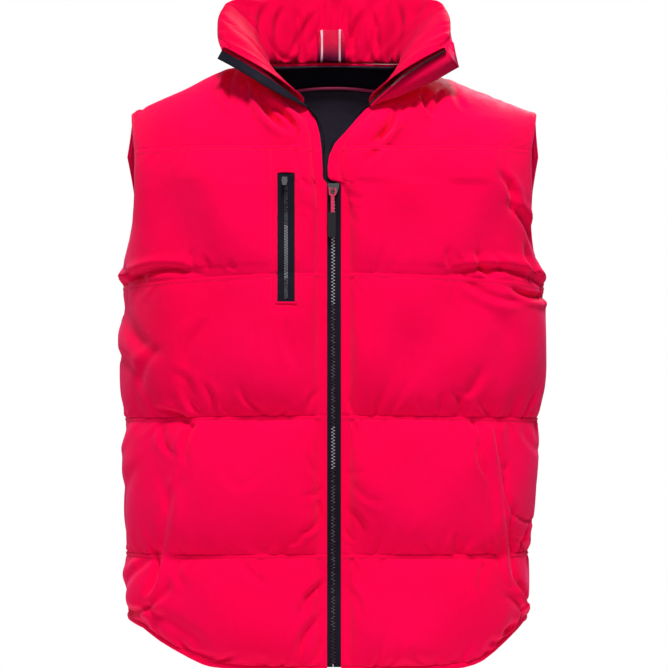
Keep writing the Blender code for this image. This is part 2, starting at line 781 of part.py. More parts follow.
def arch_solid(name, low_depth, high_depth, bar, z_top, z_end, half, centre, material):
    """A flat bridge on two feet, seen from the side as an arch."""
    side = [
        (low_depth, z_top), (high_depth, z_top - 0.0008), (high_depth, z_end + 0.0008),
        (low_depth, z_end), (low_depth, z_end + bar), (high_depth + bar, z_end + bar + 0.0006),
        (high_depth + bar, z_top - bar - 0.0006), (low_depth, z_top - bar),
    ]
    count = len(side)
    points = [(centre - half, y, z) for y, z in side] + [(centre + half, y, z) for y, z in side]
    faces = []
    for i in range(count):
        j = (i + 1) % count
        faces.append((i, j, j + count, i + count))
    quads = ((0, 1, 6, 7), (1, 2, 5, 6), (2, 3, 4, 5))
    for quad in quads:
        faces.append(tuple(reversed(quad)))
        faces.append(tuple(i + count for i in quad))
    points = np.array(points)
    return add_object(name, points, outward(points, faces), material, smooth=False)


def join_into(target, other):
    """Merge a second body into the first and drop it."""
    cut = target.modifiers.new("merge", "BOOLEAN")
    cut.operation = "UNION"
    cut.solver = "EXACT"
    cut.object = other
    depsgraph = bpy.context.evaluated_depsgraph_get()
    merged = bpy.data.meshes.new_from_object(target.evaluated_get(depsgraph))
    merged.name = target.name
    target.modifiers.clear()
    target.data = merged
    bpy.data.objects.remove(other, do_unlink=True)


def build_slider(front, materials):
    near = front - 0.0005
    far = near - SLIDER_PLATE
    outline = [(x + SLIDER_X, z + ZIP_TOP) for x, z in SLIDER_OUTLINE]
    body = outline_solid("zip_slider", outline, near, far, materials["teeth_black"])
    bridge = arch_solid("bridge", far + 0.0004, far - BRIDGE_RISE, BRIDGE_BAR,
                        ZIP_TOP + BRIDGE_TOP, ZIP_TOP + BRIDGE_END, BRIDGE_HALF, SLIDER_X,
                        materials["teeth_black"])
    join_into(body, bridge)
    pivot_z = ZIP_TOP + PIVOT_DROP
    pull_near = far - 0.0009
    pull_far = pull_near - PULL_THICK
    frame = [(x + PULL_X, z + pivot_z) for x, z in PULL_FRAME]
    hole = [(x + PULL_X, z + pivot_z) for x, z in PULL_HOLE]
    puller = framed_solid("zip_puller", frame, hole, pull_near, pull_far,
                          materials["pull_raspberry"])
    shank = [
        (PULL_X - SHANK_HALF, pivot_z - 0.0072), (PULL_X + SHANK_HALF, pivot_z - 0.0072),
        (PULL_X + SHANK_HALF, pivot_z + SHANK_END), (PULL_X - SHANK_HALF, pivot_z + SHANK_END),
    ]
    stem = outline_solid("stem", shank, pull_near - 0.0003, pull_far + 0.0003,
                         materials["pull_raspberry"])
    join_into(puller, stem)
    tab = [(x + PULL_X - 0.0006, z + pivot_z) for x, z in TAB_OUTLINE]
    slot = outline_solid("slot", [
        (PULL_X - SHANK_HALF - 0.0003, pivot_z - 0.0250),
        (PULL_X + SHANK_HALF + 0.0003, pivot_z - 0.0250),
        (PULL_X + SHANK_HALF + 0.0003, pivot_z + SHANK_END - 0.0003),
        (PULL_X - SHANK_HALF - 0.0003, pivot_z + SHANK_END - 0.0003),
    ], pull_near + 0.0030, pull_far - 0.0030, materials["tape_black"])
    slot.hide_render = True
    slot.display_type = "WIRE"
    grip = outline_solid("pull_tab", tab, pull_near, pull_far - 0.0006,
                         materials["tab_black"])
    cut = grip.modifiers.new("slot", "BOOLEAN")
    cut.operation = "DIFFERENCE"
    cut.solver = "EXACT"
    cut.object = slot
    depsgraph = bpy.context.evaluated_depsgraph_get()
    merged = bpy.data.meshes.new_from_object(grip.evaluated_get(depsgraph))
    grip.modifiers.clear()
    grip.data = merged
    bpy.data.objects.remove(slot, do_unlink=True)
    print("pull pivot", round(PULL_X, 5), round((pull_near + pull_far) / 2, 5),
          round(pivot_z, 5))


# ---------------------------------------------------------------- pockets
def row_at(grid, col, height):
    """The fractional row at which one column of a grid reaches a height."""
    heights = grid[:, col, 2]
    return float(np.interp(height, heights, np.arange(len(heights))))


def lying_strip(panel, cols, top, end, wide, clear, thick):
    """Two faces of a strip between two columns of a panel, from one height to another."""
    grid = panel["outer"]
    base = panel["grid"]
    normals = panel["normals"]
    rows_low = [row_at(base, c, end) for c in cols]
    rows_high = [row_at(base, c, top) for c in cols]
    first = math.ceil(max(rows_low) + 0.15)
    last = math.floor(min(rows_high) - 0.1)
    steps = [None] + list(range(first, last + 1)) + [None]
    near = []
    for i, step in enumerate(steps):
        rows = rows_low if i == 0 else rows_high
        line = []
        for share in wide:
            if step is None:
                row = rows[0] * (1 - share) + rows[1] * share
            else:
                row = step
            col = cols[0] + share * (cols[1] - cols[0])
            normal = unit(on_grid(normals, row, col))
            point = on_grid(grid, row, col)
            line.append((point + normal * clear, point + normal * (clear + thick)))
        near.append(line)
    block = np.array(near)
    return block[:, :, 1], block[:, :, 0]


def build_pockets(panels, materials):
    right = panels["right"]
    outer, inner = lying_strip(right, (2, 3), CHEST_TOP, CHEST_END, (0.0, 1.0), LIE_CLEAR, 0.001)
    add_wall("chest_zip_tape", outer, inner, materials["tape_black"])
    outer, inner = lying_strip(right, (2, 3), CHEST_TOP - 0.004, CHEST_END + 0.004,
                               (0.40, 0.64), LIE_CLEAR + 0.0014, 0.0012)
    add_wall("chest_zip_chain", outer, inner, materials["teeth_black"])
    top = outer[-1].mean(axis=0)
    low = outer[-2].mean(axis=0)
    up = unit(top - low)
    side = unit(outer[-1, 1] - outer[-1, 0])
    out = unit(np.cross(up, side))
    if out[1] > 0:
        out = -out
    centre = top - up * 0.008 + out * 0.0006
    corners = ((-0.0030, 0.0046), (0.0030, 0.0046), (0.0034, 0.0), (0.0022, -0.0052),
               (-0.0022, -0.0052), (-0.0034, 0.0))
    rings = []
    for lift in (0.0006, 0.0030):
        rings.append([centre + side * a + up * b + out * lift for a, b in corners])
    add_tube("chest_zip_slider", np.array(rings), materials["teeth_black"])
    for name in ("right", "left"):
        outer, inner = lying_strip(panels[name], (6, 7), WELT_TOP, WELT_END, (0.0, 1.0),
                                   LIE_CLEAR, 0.0016)
        add_wall("hand_pocket_welt_" + name, outer, inner, materials["shell_red"])


# ---------------------------------------------------------------- inside the neck
BAND_WIDE = 0.031
PIPING_RADIUS = 0.0016
LOOP_END = 0.0300            # heights between which the hanger loop lies
LOOP_TOP = 0.0640
LOOP_COLUMNS = (-1.16, -1.0, 0.0, 0.80)


def build_neck(panels, collar, materials):
    lining = panels["lining"]
    rows = lining.shape[0]
    normals = grid_normals(lining, lining - np.array([0.0, -0.01, -0.10]))
    middle = lining.shape[1] // 2
    cols = range(middle - 4, middle + 5)
    steps = np.linalg.norm(np.diff(lining[:, middle], axis=0), axis=1)
    reach = 0.0
    row = rows - 1
    for i in range(rows - 2, -1, -1):
        if reach + steps[i] >= BAND_WIDE:
            row = i + 1 - (BAND_WIDE - reach) / steps[i]
            break
        reach += steps[i]
    places = [row] + [r for r in range(math.ceil(row + 0.1), rows)]
    near = []
    far = []
    for place in places:
        points = [on_grid(lining, place, c) for c in cols]
        inward = [-unit(on_grid(normals, place, c)) for c in cols]
        lifts = [0.0010 + 0.0022 * (abs(c - middle) / 4) ** 3 for c in cols]
        near.append([p + n * lift for p, n, lift in zip(points, inward, lifts)])
        far.append([p + n * (lift + 0.0012) for p, n, lift in zip(points, inward, lifts)])
    add_wall("neck_band", np.array(near), np.array(far), materials["tape_black"])
    rings = []
    for c in np.arange(middle - 4, middle + 4.01, 0.5):
        c = min(float(c), middle + 4 - 0.001)
        point = on_grid(lining, row, c)
        inward = -unit(on_grid(normals, row, c))
        ahead = on_grid(lining, row, min(c + 0.3, middle + 4 - 0.0005))
        behind = on_grid(lining, row, max(c - 0.3, middle - 4))
        forward = unit(ahead - behind)
        down = unit(np.cross(forward, inward))
        if down[2] > 0:
            down = -down
        lift = 0.0014 + 0.0024 * (abs(c - middle) / 4) ** 3
        centre = point + inward * (PIPING_RADIUS + lift) + down * (PIPING_RADIUS + 0.0004)
        ring = []
        for k in range(6):
            angle = math.tau * k / 6
            spoke = inward * math.cos(angle) + down * math.sin(angle)
            ring.append(centre + spoke * PIPING_RADIUS)
        rings.append(ring)
    add_tube("neck_piping", np.array(rings), materials["piping_raspberry"])
    inner = collar["inner"]
    base = collar["grid"]
    centre_col = base.shape[1] // 2
    low = row_at(base, centre_col, LOOP_END)
    high = row_at(base, centre_col, LOOP_TOP)
    between = range(math.ceil(low + 0.1), math.floor(high - 0.1) + 1)
    rows_used = [low] + list(between) + [high]
    near = []
    far = []
    for i, place in enumerate(rows_used):
        lift = 0.0006 + 0.0016 * math.sin(math.pi * i / (len(rows_used) - 1))
        line_near = []
        line_far = []
        for share in LOOP_COLUMNS:
            col = centre_col + share
            point = on_grid(inner, place, col)
            inward = -unit(on_grid(collar["normals"], place, col))
            line_near.append(point + inward * lift)
            line_far.append(point + inward * (lift + 0.0012))
        near.append(line_near)
        far.append(line_far)
    add_wall("hanger_loop", np.array(near), np.array(far), materials["loop_red"])


def main():
    clear_scene()
    materials = make_materials()
    panels = build_panels(materials)
    build_hem(panels, materials)
    collar = build_collar(panels, materials)
    front = build_zip(panels, collar, materials)
    build_slider(front, materials)
    build_pockets(panels, materials)
    build_neck(panels, collar, materials)
    total = 0
    for made in bpy.data.objects:
        count = sum(len(p.vertices) - 2 for p in made.data.polygons)
        total += count
        print(made.name, count)
    print("triangles", total)


main()
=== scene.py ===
# %% [markdown]
# # A quilted bodywarmer, step by step
# A bodywarmer is a padded shell with no sleeves: two fronts and a back, stitched into puffed
# bands, a smooth lining behind them, a high collar, a front zip and a few pockets. The packed
# model already holds every piece in its right place, so this lesson starts by loading it. It then
# gives each piece a finer form on the same surface, with creases, stitches and a woven finish.

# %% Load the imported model
import math
import random

import bpy
import numpy as np
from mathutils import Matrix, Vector
from mathutils.bvhtree import BVHTree


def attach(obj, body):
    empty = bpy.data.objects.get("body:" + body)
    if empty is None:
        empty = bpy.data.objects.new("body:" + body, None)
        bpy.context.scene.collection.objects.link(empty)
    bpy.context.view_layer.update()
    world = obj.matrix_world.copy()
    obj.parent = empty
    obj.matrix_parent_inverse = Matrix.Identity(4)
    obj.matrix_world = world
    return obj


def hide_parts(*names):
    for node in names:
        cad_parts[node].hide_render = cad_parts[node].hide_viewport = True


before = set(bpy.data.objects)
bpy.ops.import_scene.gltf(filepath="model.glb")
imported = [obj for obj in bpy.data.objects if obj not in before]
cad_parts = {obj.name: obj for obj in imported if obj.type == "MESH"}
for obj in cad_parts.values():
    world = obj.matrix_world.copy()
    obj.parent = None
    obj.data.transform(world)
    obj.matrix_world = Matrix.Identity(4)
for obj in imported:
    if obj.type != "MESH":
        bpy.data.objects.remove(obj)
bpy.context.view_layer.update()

# %% [markdown]
# ## The camera, and places seen in the photograph
# A garment is easiest to match when a place in the picture can be turned into a place on the
# cloth. The camera stands 3 m in front of the zip and looks level, so a line from it through a
# picture point meets the cloth where that detail belongs. The helpers here turn model points into
# picture points and back.

# %% Camera
EYE = np.array([0.0, -3.0, -0.302])
PICTURE = 668                # width and height of the picture, in pixels
PIXEL = 0.00118              # size of a pixel at the shoulder line, in metres

camera_data = bpy.data.cameras.new("camera")
camera_data.sensor_fit = "HORIZONTAL"
camera_data.angle = 2 * math.atan(PICTURE * PIXEL / 2 / -EYE[1])
camera = bpy.data.objects.new("camera", camera_data)
camera.location = EYE
camera.rotation_euler = (math.radians(90), 0, 0)
bpy.context.scene.collection.objects.link(camera)
bpy.context.scene.camera = camera


def in_picture(points):
    """Picture columns and rows of model points."""
    scale = PIXEL * (points[..., 1] - EYE[1]) / -EYE[1]
    across = PICTURE / 2 + points[..., 0] / scale
    down = PICTURE / 2 - (points[..., 2] - EYE[2]) / scale
    return across, down


def sight_line(across, down):
    """The way from the camera through a picture point."""
    x = (across - PICTURE / 2) * PIXEL
    z = -(down - PICTURE / 2) * PIXEL
    return Vector((x, -EYE[1], z)).normalized()


print("camera angle", round(math.degrees(camera_data.angle), 2))

# %% [markdown]
# ## The cut of the body
# A coat is cut flat, but worn cloth takes the round of the trunk. A level cut through it is
# between an ellipse and a rectangle, and the surface rolls over at the shoulders. The tables give
# half widths, depths, seam heights and edges. All are in metres, with the shoulder line at zero.

# %% Tables of the cut
SEAM_GAP = 0.0001            # between two panels at the shoulders and the sides
EDGE_THICK = 0.004           # thickness of a padded panel at its edges
LINING_THICK = 0.0012
LINING_CLEAR = 0.0010        # between the padding and the lining at an edge
LINING_DROP = 0.0068         # how much farther away the lining hangs in the middle
ROUND_POWER = 2.4            # of the level cut: 2 makes an ellipse, more a rounded rectangle
NECK_HALF = 0.083            # half the width of the neck opening
NECK_BACK = 0.066            # how far the neck opening reaches behind the shoulder line
NECK_HEIGHT = 0.024          # of the neck seam in the middle of the back
SHOULDER_NECK = 0.018        # height of the shoulder seam at the neck
SHOULDER_SLOPE = 0.40        # its fall for each metre outward
SHOULDER_TIP = 0.2375        # its outer end
UNDERARM = -0.2345           # height of the lowest point of an armhole
SIDE_REACH = 0.245           # distance out at which a seam has its height at the sides
BODY = (
    # height, half_width_right, half_width_left, front_depth, back_depth
    (-0.700, 0.2400, 0.2240, 0.1160, 0.1150),
    (-0.552, 0.2420, 0.2260, 0.1170, 0.1090),
    (-0.479, 0.2400, 0.2290, 0.1175, 0.1070),
    (-0.395, 0.2440, 0.2380, 0.1180, 0.1060),
    (-0.323, 0.2435, 0.2415, 0.1195, 0.1100),
    (-0.271, 0.2440, 0.2440, 0.1200, 0.1135),
    (-0.246, 0.2470, 0.2460, 0.1205, 0.1150),
    (-0.215, 0.2480, 0.2390, 0.1205, 0.1170),
    (-0.180, 0.2490, 0.2430, 0.1205, 0.1180),
    (-0.140, 0.2520, 0.2500, 0.1200, 0.1180),
    (-0.090, 0.2590, 0.2560, 0.1180, 0.1150),
    (0.060, 0.2620, 0.2600, 0.1170, 0.1120),
)
HEM_LINE = (
    # distance from the middle, height on the right, height on the left
    (0.000, -0.6800, -0.6800),
    (0.100, -0.6790, -0.6795),
    (0.140, -0.6758, -0.6782),
    (0.149, -0.6737, -0.6772),
    (0.160, -0.6692, -0.6748),
    (0.170, -0.6645, -0.6710),
    (0.184, -0.6578, -0.6615),
    (0.199, -0.6500, -0.6495),
    (0.220, -0.6365, -0.6325),
    (0.244, -0.6290, -0.6270),
)
LINES = (
    # the hem and the four quilt seams: height in the middle, height at the sides
    (-0.6800, -0.6290),
    (-0.5520, -0.5570),
    (-0.3945, -0.4000),
    (-0.2330, -0.2465),
    (-0.0907, -0.0907),
)
ARMHOLE = (
    # height, and how far the edge stays from the side line in front and behind
    (-0.2345, 0.0000, 0.0000),
    (-0.2336, 0.0100, 0.0095),
    (-0.2308, 0.0195, 0.0185),
    (-0.2255, 0.0285, 0.0270),
    (-0.2175, 0.0362, 0.0342),
    (-0.2065, 0.0437, 0.0407),
    (-0.1930, 0.0505, 0.0455),
    (-0.1750, 0.0558, 0.0485),
    (-0.1550, 0.0590, 0.0498),
    (-0.1300, 0.0622, 0.0498),
    (-0.1100, 0.0642, 0.0486),
    (-0.0907, 0.0655, 0.0470),
)
EDGE_RIGHT = (
    # height, distance from the middle
    (-0.7000, 0.0078),
    (-0.1310, 0.0078),
    (-0.1266, 0.0126),
    (-0.1138, 0.0128),
    (-0.0922, 0.0140),
    (-0.0752, 0.0162),
    (-0.0571, 0.0205),
    (-0.0410, 0.0320),
    (-0.0220, 0.0585),
    (-0.0040, 0.0750),
    (0.0180, 0.0830),
)
EDGE_LEFT = (
    # height, distance from the middle
    (-0.7000, 0.0078),
    (-0.1310, 0.0078),
    (-0.1266, -0.0068),
    (-0.1138, -0.0074),
    (-0.1002, -0.0056),
    (-0.0854, 0.0012),
    (-0.0718, 0.0135),
    (-0.0502, 0.0316),
    (-0.0410, 0.0400),
    (-0.0220, 0.0610),
    (-0.0040, 0.0755),
    (0.0180, 0.0830),
)
BACK_TOP = (
    # share of the way across, distance from the middle along the shoulder
    (0.000, 0.0000),
    (0.167, 0.0180),
    (0.335, 0.0400),
    (0.502, 0.0620),
    (0.669, 0.0830),
    (0.837, 0.1345),
    (0.951, 0.1860),
    (1.000, 0.2375),
)
print("width at the hem", round(BODY[0][1] + BODY[0][2], 3))


# %% Small helpers
def lookup(table, at, index):
    """A column of a table, read between its rows."""
    return np.interp(at, [row[0] for row in table], [row[index] for row in table])


def unit(vectors):
    length = np.linalg.norm(vectors, axis=-1, keepdims=True)
    return vectors / np.maximum(length, 1e-12)


def ramp(distance, start, end, power=2.0):
    """A rounded rise from 0 at the start to 1 at the end."""
    t = np.clip((distance - start) / (end - start), 0.0, 1.0)
    return (1.0 - (1.0 - t) ** power) ** (1.0 / power)


def swell(distance, reach, slope):
    """A full, rounded rise from a seam that ends without a line. A larger slope is gentler."""
    return (1.0 - (1.0 - np.clip(distance / reach, 0.0, 1.0)) ** 3) ** slope


print("height of the hem at the sides", lookup(HEM_LINE, SIDE_REACH, 1))

# %% [markdown]
# ## A fine grid over each panel
# Every panel is a sheet with rows along the seams and columns down the body. A grid keeps that
# order, so a seam is one row and a puff is a push along the normals. Rows and columns lie closer
# together at the seams and edges, where the cloth bends most.

# %% Top line and level rows
ROWS = (46, 60, 64, 58, 44)  # in each band, from the hem up
FRONT_COLUMNS = 164
BACK_COLUMNS = 84            # in half of the back
LEDGE = 0.0044               # flat strip between a seam and the topstitch below it


def shoulder_height(x):
    """Height of the shoulder seam at a distance from the middle."""
    return SHOULDER_NECK - SHOULDER_SLOPE * (np.abs(x) - NECK_HALF)


def top_line(x, face):
    """Where a panel ends at the top: distance behind the shoulder line, and height."""
    across = np.clip(np.abs(x) / NECK_HALF, 0.0, 1.0)
    if face < 0:
        return np.full_like(across, -SEAM_GAP / 2), shoulder_height(x)
    depth = SEAM_GAP / 2 + NECK_BACK * np.sqrt(1.0 - across ** 2)
    inside = NECK_HEIGHT - (NECK_HEIGHT - SHOULDER_NECK) * across ** 2
    return depth, np.where(across < 1.0, inside, shoulder_height(x))


def round_over(x, z, full, face):
    """Depth of a panel that rolls over to its top line."""
    depth, height = top_line(x, face)
    reach = np.interp(np.abs(x), (0.03, SHOULDER_TIP), (0.17, 0.10))
    t = np.clip((height - z) / reach, 0.0, 1.0)
    return depth + (full - depth) * (1.0 - (1.0 - t) ** 1.8) ** (1.0 / 1.8)


def line_height(x, line, side):
    """Height of the hem or a quilt seam at a distance from the middle."""
    if line is LINES[0]:
        return lookup(HEM_LINE, np.abs(x), side)
    return line[0] + (line[1] - line[0]) * (np.abs(x) / SIDE_REACH) ** 2


def level_row(band, share, face, side, edge):
    """A dense level row of a panel, from its inner edge to its side seam or armhole."""
    low = LINES[band]
    high = LINES[min(band + 1, 4)]
    z_mid = low[0] * (1 - share) + high[0] * share
    z_side = low[1] * (1 - share) + high[1] * share
    half = float(lookup(BODY, z_side, side))
    depth = float(lookup(BODY, z_mid, 3 if face < 0 else 4))
    start = float(lookup(edge, z_mid, 1)) if face < 0 else 0.0
    stop = SEAM_GAP / 2
    if z_side > UNDERARM:
        stop = max(stop, float(lookup(ARMHOLE, z_side, 1 if face < 0 else 2)))
    last = math.acos((stop / depth) ** (ROUND_POWER / 2))
    first = math.asin((abs(start) / half) ** (ROUND_POWER / 2)) * (1 if start >= 0 else -1)
    angle = np.linspace(first, last, 900)
    x = half * np.sign(angle) * np.abs(np.sin(angle)) ** (2 / ROUND_POWER)
    y = face * depth * np.abs(np.cos(angle)) ** (2 / ROUND_POWER)
    z = line_height(x, low, side) * (1 - share) + line_height(x, high, side) * share
    return np.stack([x, round_over(x, z, y, face), z], axis=1)


print("shoulder tip", round(float(shoulder_height(SHOULDER_TIP)), 4))


# %% Rows into grids
def closer_at_ends(count, pull=0.72):
    """Shares from 0 to 1 that lie closer together at both ends."""
    t = np.linspace(0.0, 1.0, count)
    return t - pull * np.sin(math.tau * t) / math.tau


def spread(row, places):
    """Points of a dense row at shares of its length."""
    total = np.concatenate([[0.0], np.cumsum(np.linalg.norm(np.diff(row, axis=0), axis=1))])
    return np.stack([np.interp(places * total[-1], total, row[:, i]) for i in range(3)], axis=1)


def panel_grid(face, side, edge, places):
    """Base points of a panel, with the band and the share of the way up it of each row."""
    grid, bands, shares = [], [], []
    for band in range(4):
        tall = LINES[band + 1][0] - LINES[band][0]
        ledge = LEDGE / tall
        rows = list(closer_at_ends(ROWS[band]) * (1 - ledge)) + [1 - ledge * 0.6, 1 - ledge * 0.25]
        for share in rows:
            grid.append(spread(level_row(band, share, face, side, edge), places))
            bands.append(band)
            shares.append(share)
    base = spread(level_row(4, 0.0, face, side, edge), places)
    part = (base[:, 0] - base[0, 0]) / (base[-1, 0] - base[0, 0])
    low = LINES[4][0]
    for share in closer_at_ends(ROWS[4]):
        outer = base[-1, 0] * (1 - share) + SHOULDER_TIP * share
        if face < 0:
            inner = 0.03
            for _ in range(60):
                height = low + (float(shoulder_height(inner)) - low) * share
                inner = float(lookup(edge, height, 1))
            x = inner + (outer - inner) * part
        else:
            x = base[:, 0] * (1 - share) + np.interp(places, *zip(*BACK_TOP)) * share
        z = low + (top_line(x, face)[1] - low) * share
        half = lookup(BODY, z, side)
        depth = lookup(BODY, z, 3 if face < 0 else 4)
        round_x = np.clip(1.0 - (np.abs(x) / half) ** ROUND_POWER, 0.0, 1.0)
        full = face * depth * round_x ** (1.0 / ROUND_POWER)
        grid.append(np.stack([x, round_over(x, z, full, face), z], axis=1))
        bands.append(4)
        shares.append(share)
    return np.array(grid), np.array(bands), np.array(shares)


print("rows", sum(ROWS), "columns", FRONT_COLUMNS, "in front,", BACK_COLUMNS, "in half the back")


# %% Normals of a grid
def grid_normals(grid, toward):
    """Normals of a grid of points, turned to the side of the reference vectors."""
    normals = unit(np.cross(np.gradient(grid, axis=0), np.gradient(grid, axis=1)))
    flip = np.sign(np.sum(normals * toward, axis=-1, keepdims=True))
    flip[flip == 0] = 1.0
    return normals * flip


def panel_normals(grid, face):
    """Normals of a panel, level with those of its neighbours at its seams."""
    toward = grid - np.array([0.0, 0.0, -0.30])
    toward[..., 2] *= 0.3
    normals = grid_normals(grid, toward)
    normals[grid[:, -1, 2] <= UNDERARM + 0.0001, -1, 1] = 0.0
    normals[-1, np.abs(grid[-1, :, 0]) >= NECK_HALF - 0.0001, 1] = 0.0
    if face > 0:
        normals[:, 0, 0] = 0.0
    return unit(normals)


print("normals helpers ready")

# %% [markdown]
# ## From grids to meshes
# A cloth piece has two faces and a rim, so it is a closed shell between two grids. Stitches,
# teeth and cords are many small tubes, and one helper makes them all from rings of points.

# %% Mesh helpers
def add_piece(name, points, faces, material):
    """A smooth mesh that rides on the garment's body."""
    mesh = bpy.data.meshes.new(name)
    mesh.from_pydata(points.reshape(-1, 3).tolist(), [], faces)
    mesh.materials.append(material)
    mesh.shade_smooth()
    piece = bpy.data.objects.new(name, mesh)
    bpy.context.scene.collection.objects.link(piece)
    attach(piece, "garment")
    return piece


def shell_faces(rows, cols):
    """Four-sided faces between two grids: the near face, the far face and the rim."""
    index = np.arange(rows * cols).reshape(rows, cols)
    a, b, d, e = index[:-1, :-1], index[:-1, 1:], index[1:, :-1], index[1:, 1:]
    near = np.stack([a, b, e, d], axis=-1).reshape(-1, 4)
    far = np.stack([a, d, e, b], axis=-1).reshape(-1, 4) + rows * cols
    rim = np.concatenate([index[0], index[1:, -1], index[-1, -2::-1], index[-2:0:-1, 0]])
    ahead = np.roll(rim, -1)
    side = np.stack([rim, rim + rows * cols, ahead + rows * cols, ahead], axis=-1)
    return np.concatenate([near, far, side])


def add_shell(name, outer, inner, material):
    """A closed shell between two grids, with its faces turned out."""
    points = np.concatenate([outer.reshape(-1, 3), inner.reshape(-1, 3)])
    faces = shell_faces(*outer.shape[:2])
    a, b, c, d = (points[faces[:, i]] for i in range(4))
    volume = np.sum(a * np.cross(b, c)) + np.sum(a * np.cross(c, d))
    if volume < 0:
        faces = faces[:, ::-1]
    return add_piece(name, points, faces.tolist(), material)


def add_tubes(name, rings, material, closed=False):
    """Closed tubes through rings of points: (tubes, rings, points around, 3)."""
    tubes, count, around = rings.shape[:3]
    index = np.arange(tubes * count * around).reshape(tubes, count, around)
    near = index if closed else index[:, :-1]
    far = np.roll(index, -1, axis=1) if closed else index[:, 1:]
    quads = np.stack([near, np.roll(near, -1, axis=2), np.roll(far, -1, axis=2), far], axis=-1)
    faces = quads.reshape(-1, 4).tolist()
    if not closed:
        faces += index[:, 0, ::-1].tolist()
        faces += index[:, -1].tolist()
    return add_piece(name, rings, faces, material)


print("mesh helpers ready")


# %% Places on grids and curves
def on_grid(grid, row, col):
    """Points of a grid at fractional rows and columns."""
    row, col = np.broadcast_arrays(np.asarray(row, float), np.asarray(col, float))
    r = np.clip(row.astype(int), 0, grid.shape[0] - 2)
    c = np.clip(col.astype(int), 0, grid.shape[1] - 2)
    v, u = (row - r)[..., None], (col - c)[..., None]
    low = grid[r, c] * (1 - u) + grid[r, c + 1] * u
    return low * (1 - v) + (grid[r + 1, c] * (1 - u) + grid[r + 1, c + 1] * u) * v


def smooth_curve(at, knots, values):
    """Values between knots, along a smooth curve through them."""
    knots = np.asarray(knots, float)
    values = np.asarray(values, float).reshape(len(knots), -1)
    slope = np.gradient(values, knots, axis=0)
    i = np.clip(np.searchsorted(knots, at) - 1, 0, len(knots) - 2)
    step = (knots[i + 1] - knots[i])[:, None]
    t = (at - knots[i])[:, None] / step
    near = values[i] * (1 + 2 * t) * (1 - t) ** 2 + slope[i] * step * t * (1 - t) ** 2
    return near + values[i + 1] * t * t * (3 - 2 * t) - slope[i + 1] * step * t * t * (1 - t)


print("curve helpers ready")

# %% [markdown]
# ## Woven finishes
# The shell is a smooth red nylon. Close up it is a fine plain weave with small random crinkles.
# From farther off it has a soft sheen that turns pink where the surface leans away. Dye and wear
# vary a little over the cloth. All of it is made from nodes that read the piece's own space, so it
# needs no unwrapping.

# %% Node helpers
def add_node(tree, kind, **values):
    """A node with its settings and input values."""
    node = tree.nodes.new(kind)
    for key, value in values.items():
        if hasattr(node, key):
            setattr(node, key, value)
        else:
            node.inputs[key.replace("_", " ")].default_value = value
    return node


def new_material(name, roughness, specular=0.5, sheen=0.0, sheen_tint=(1, 1, 1), coat=0.0,
                 gloss_tint=(1, 1, 1)):
    material = bpy.data.materials.new(name)
    material.use_nodes = True
    shader = material.node_tree.nodes["Principled BSDF"]
    shader.inputs["Roughness"].default_value = roughness
    shader.inputs["Specular IOR Level"].default_value = specular
    shader.inputs["Specular Tint"].default_value = (*gloss_tint, 1.0)
    shader.inputs["Sheen Weight"].default_value = sheen
    shader.inputs["Sheen Roughness"].default_value = 0.45
    shader.inputs["Sheen Tint"].default_value = (*sheen_tint, 1.0)
    shader.inputs["Coat Weight"].default_value = coat
    return material, shader


print("node helpers ready")


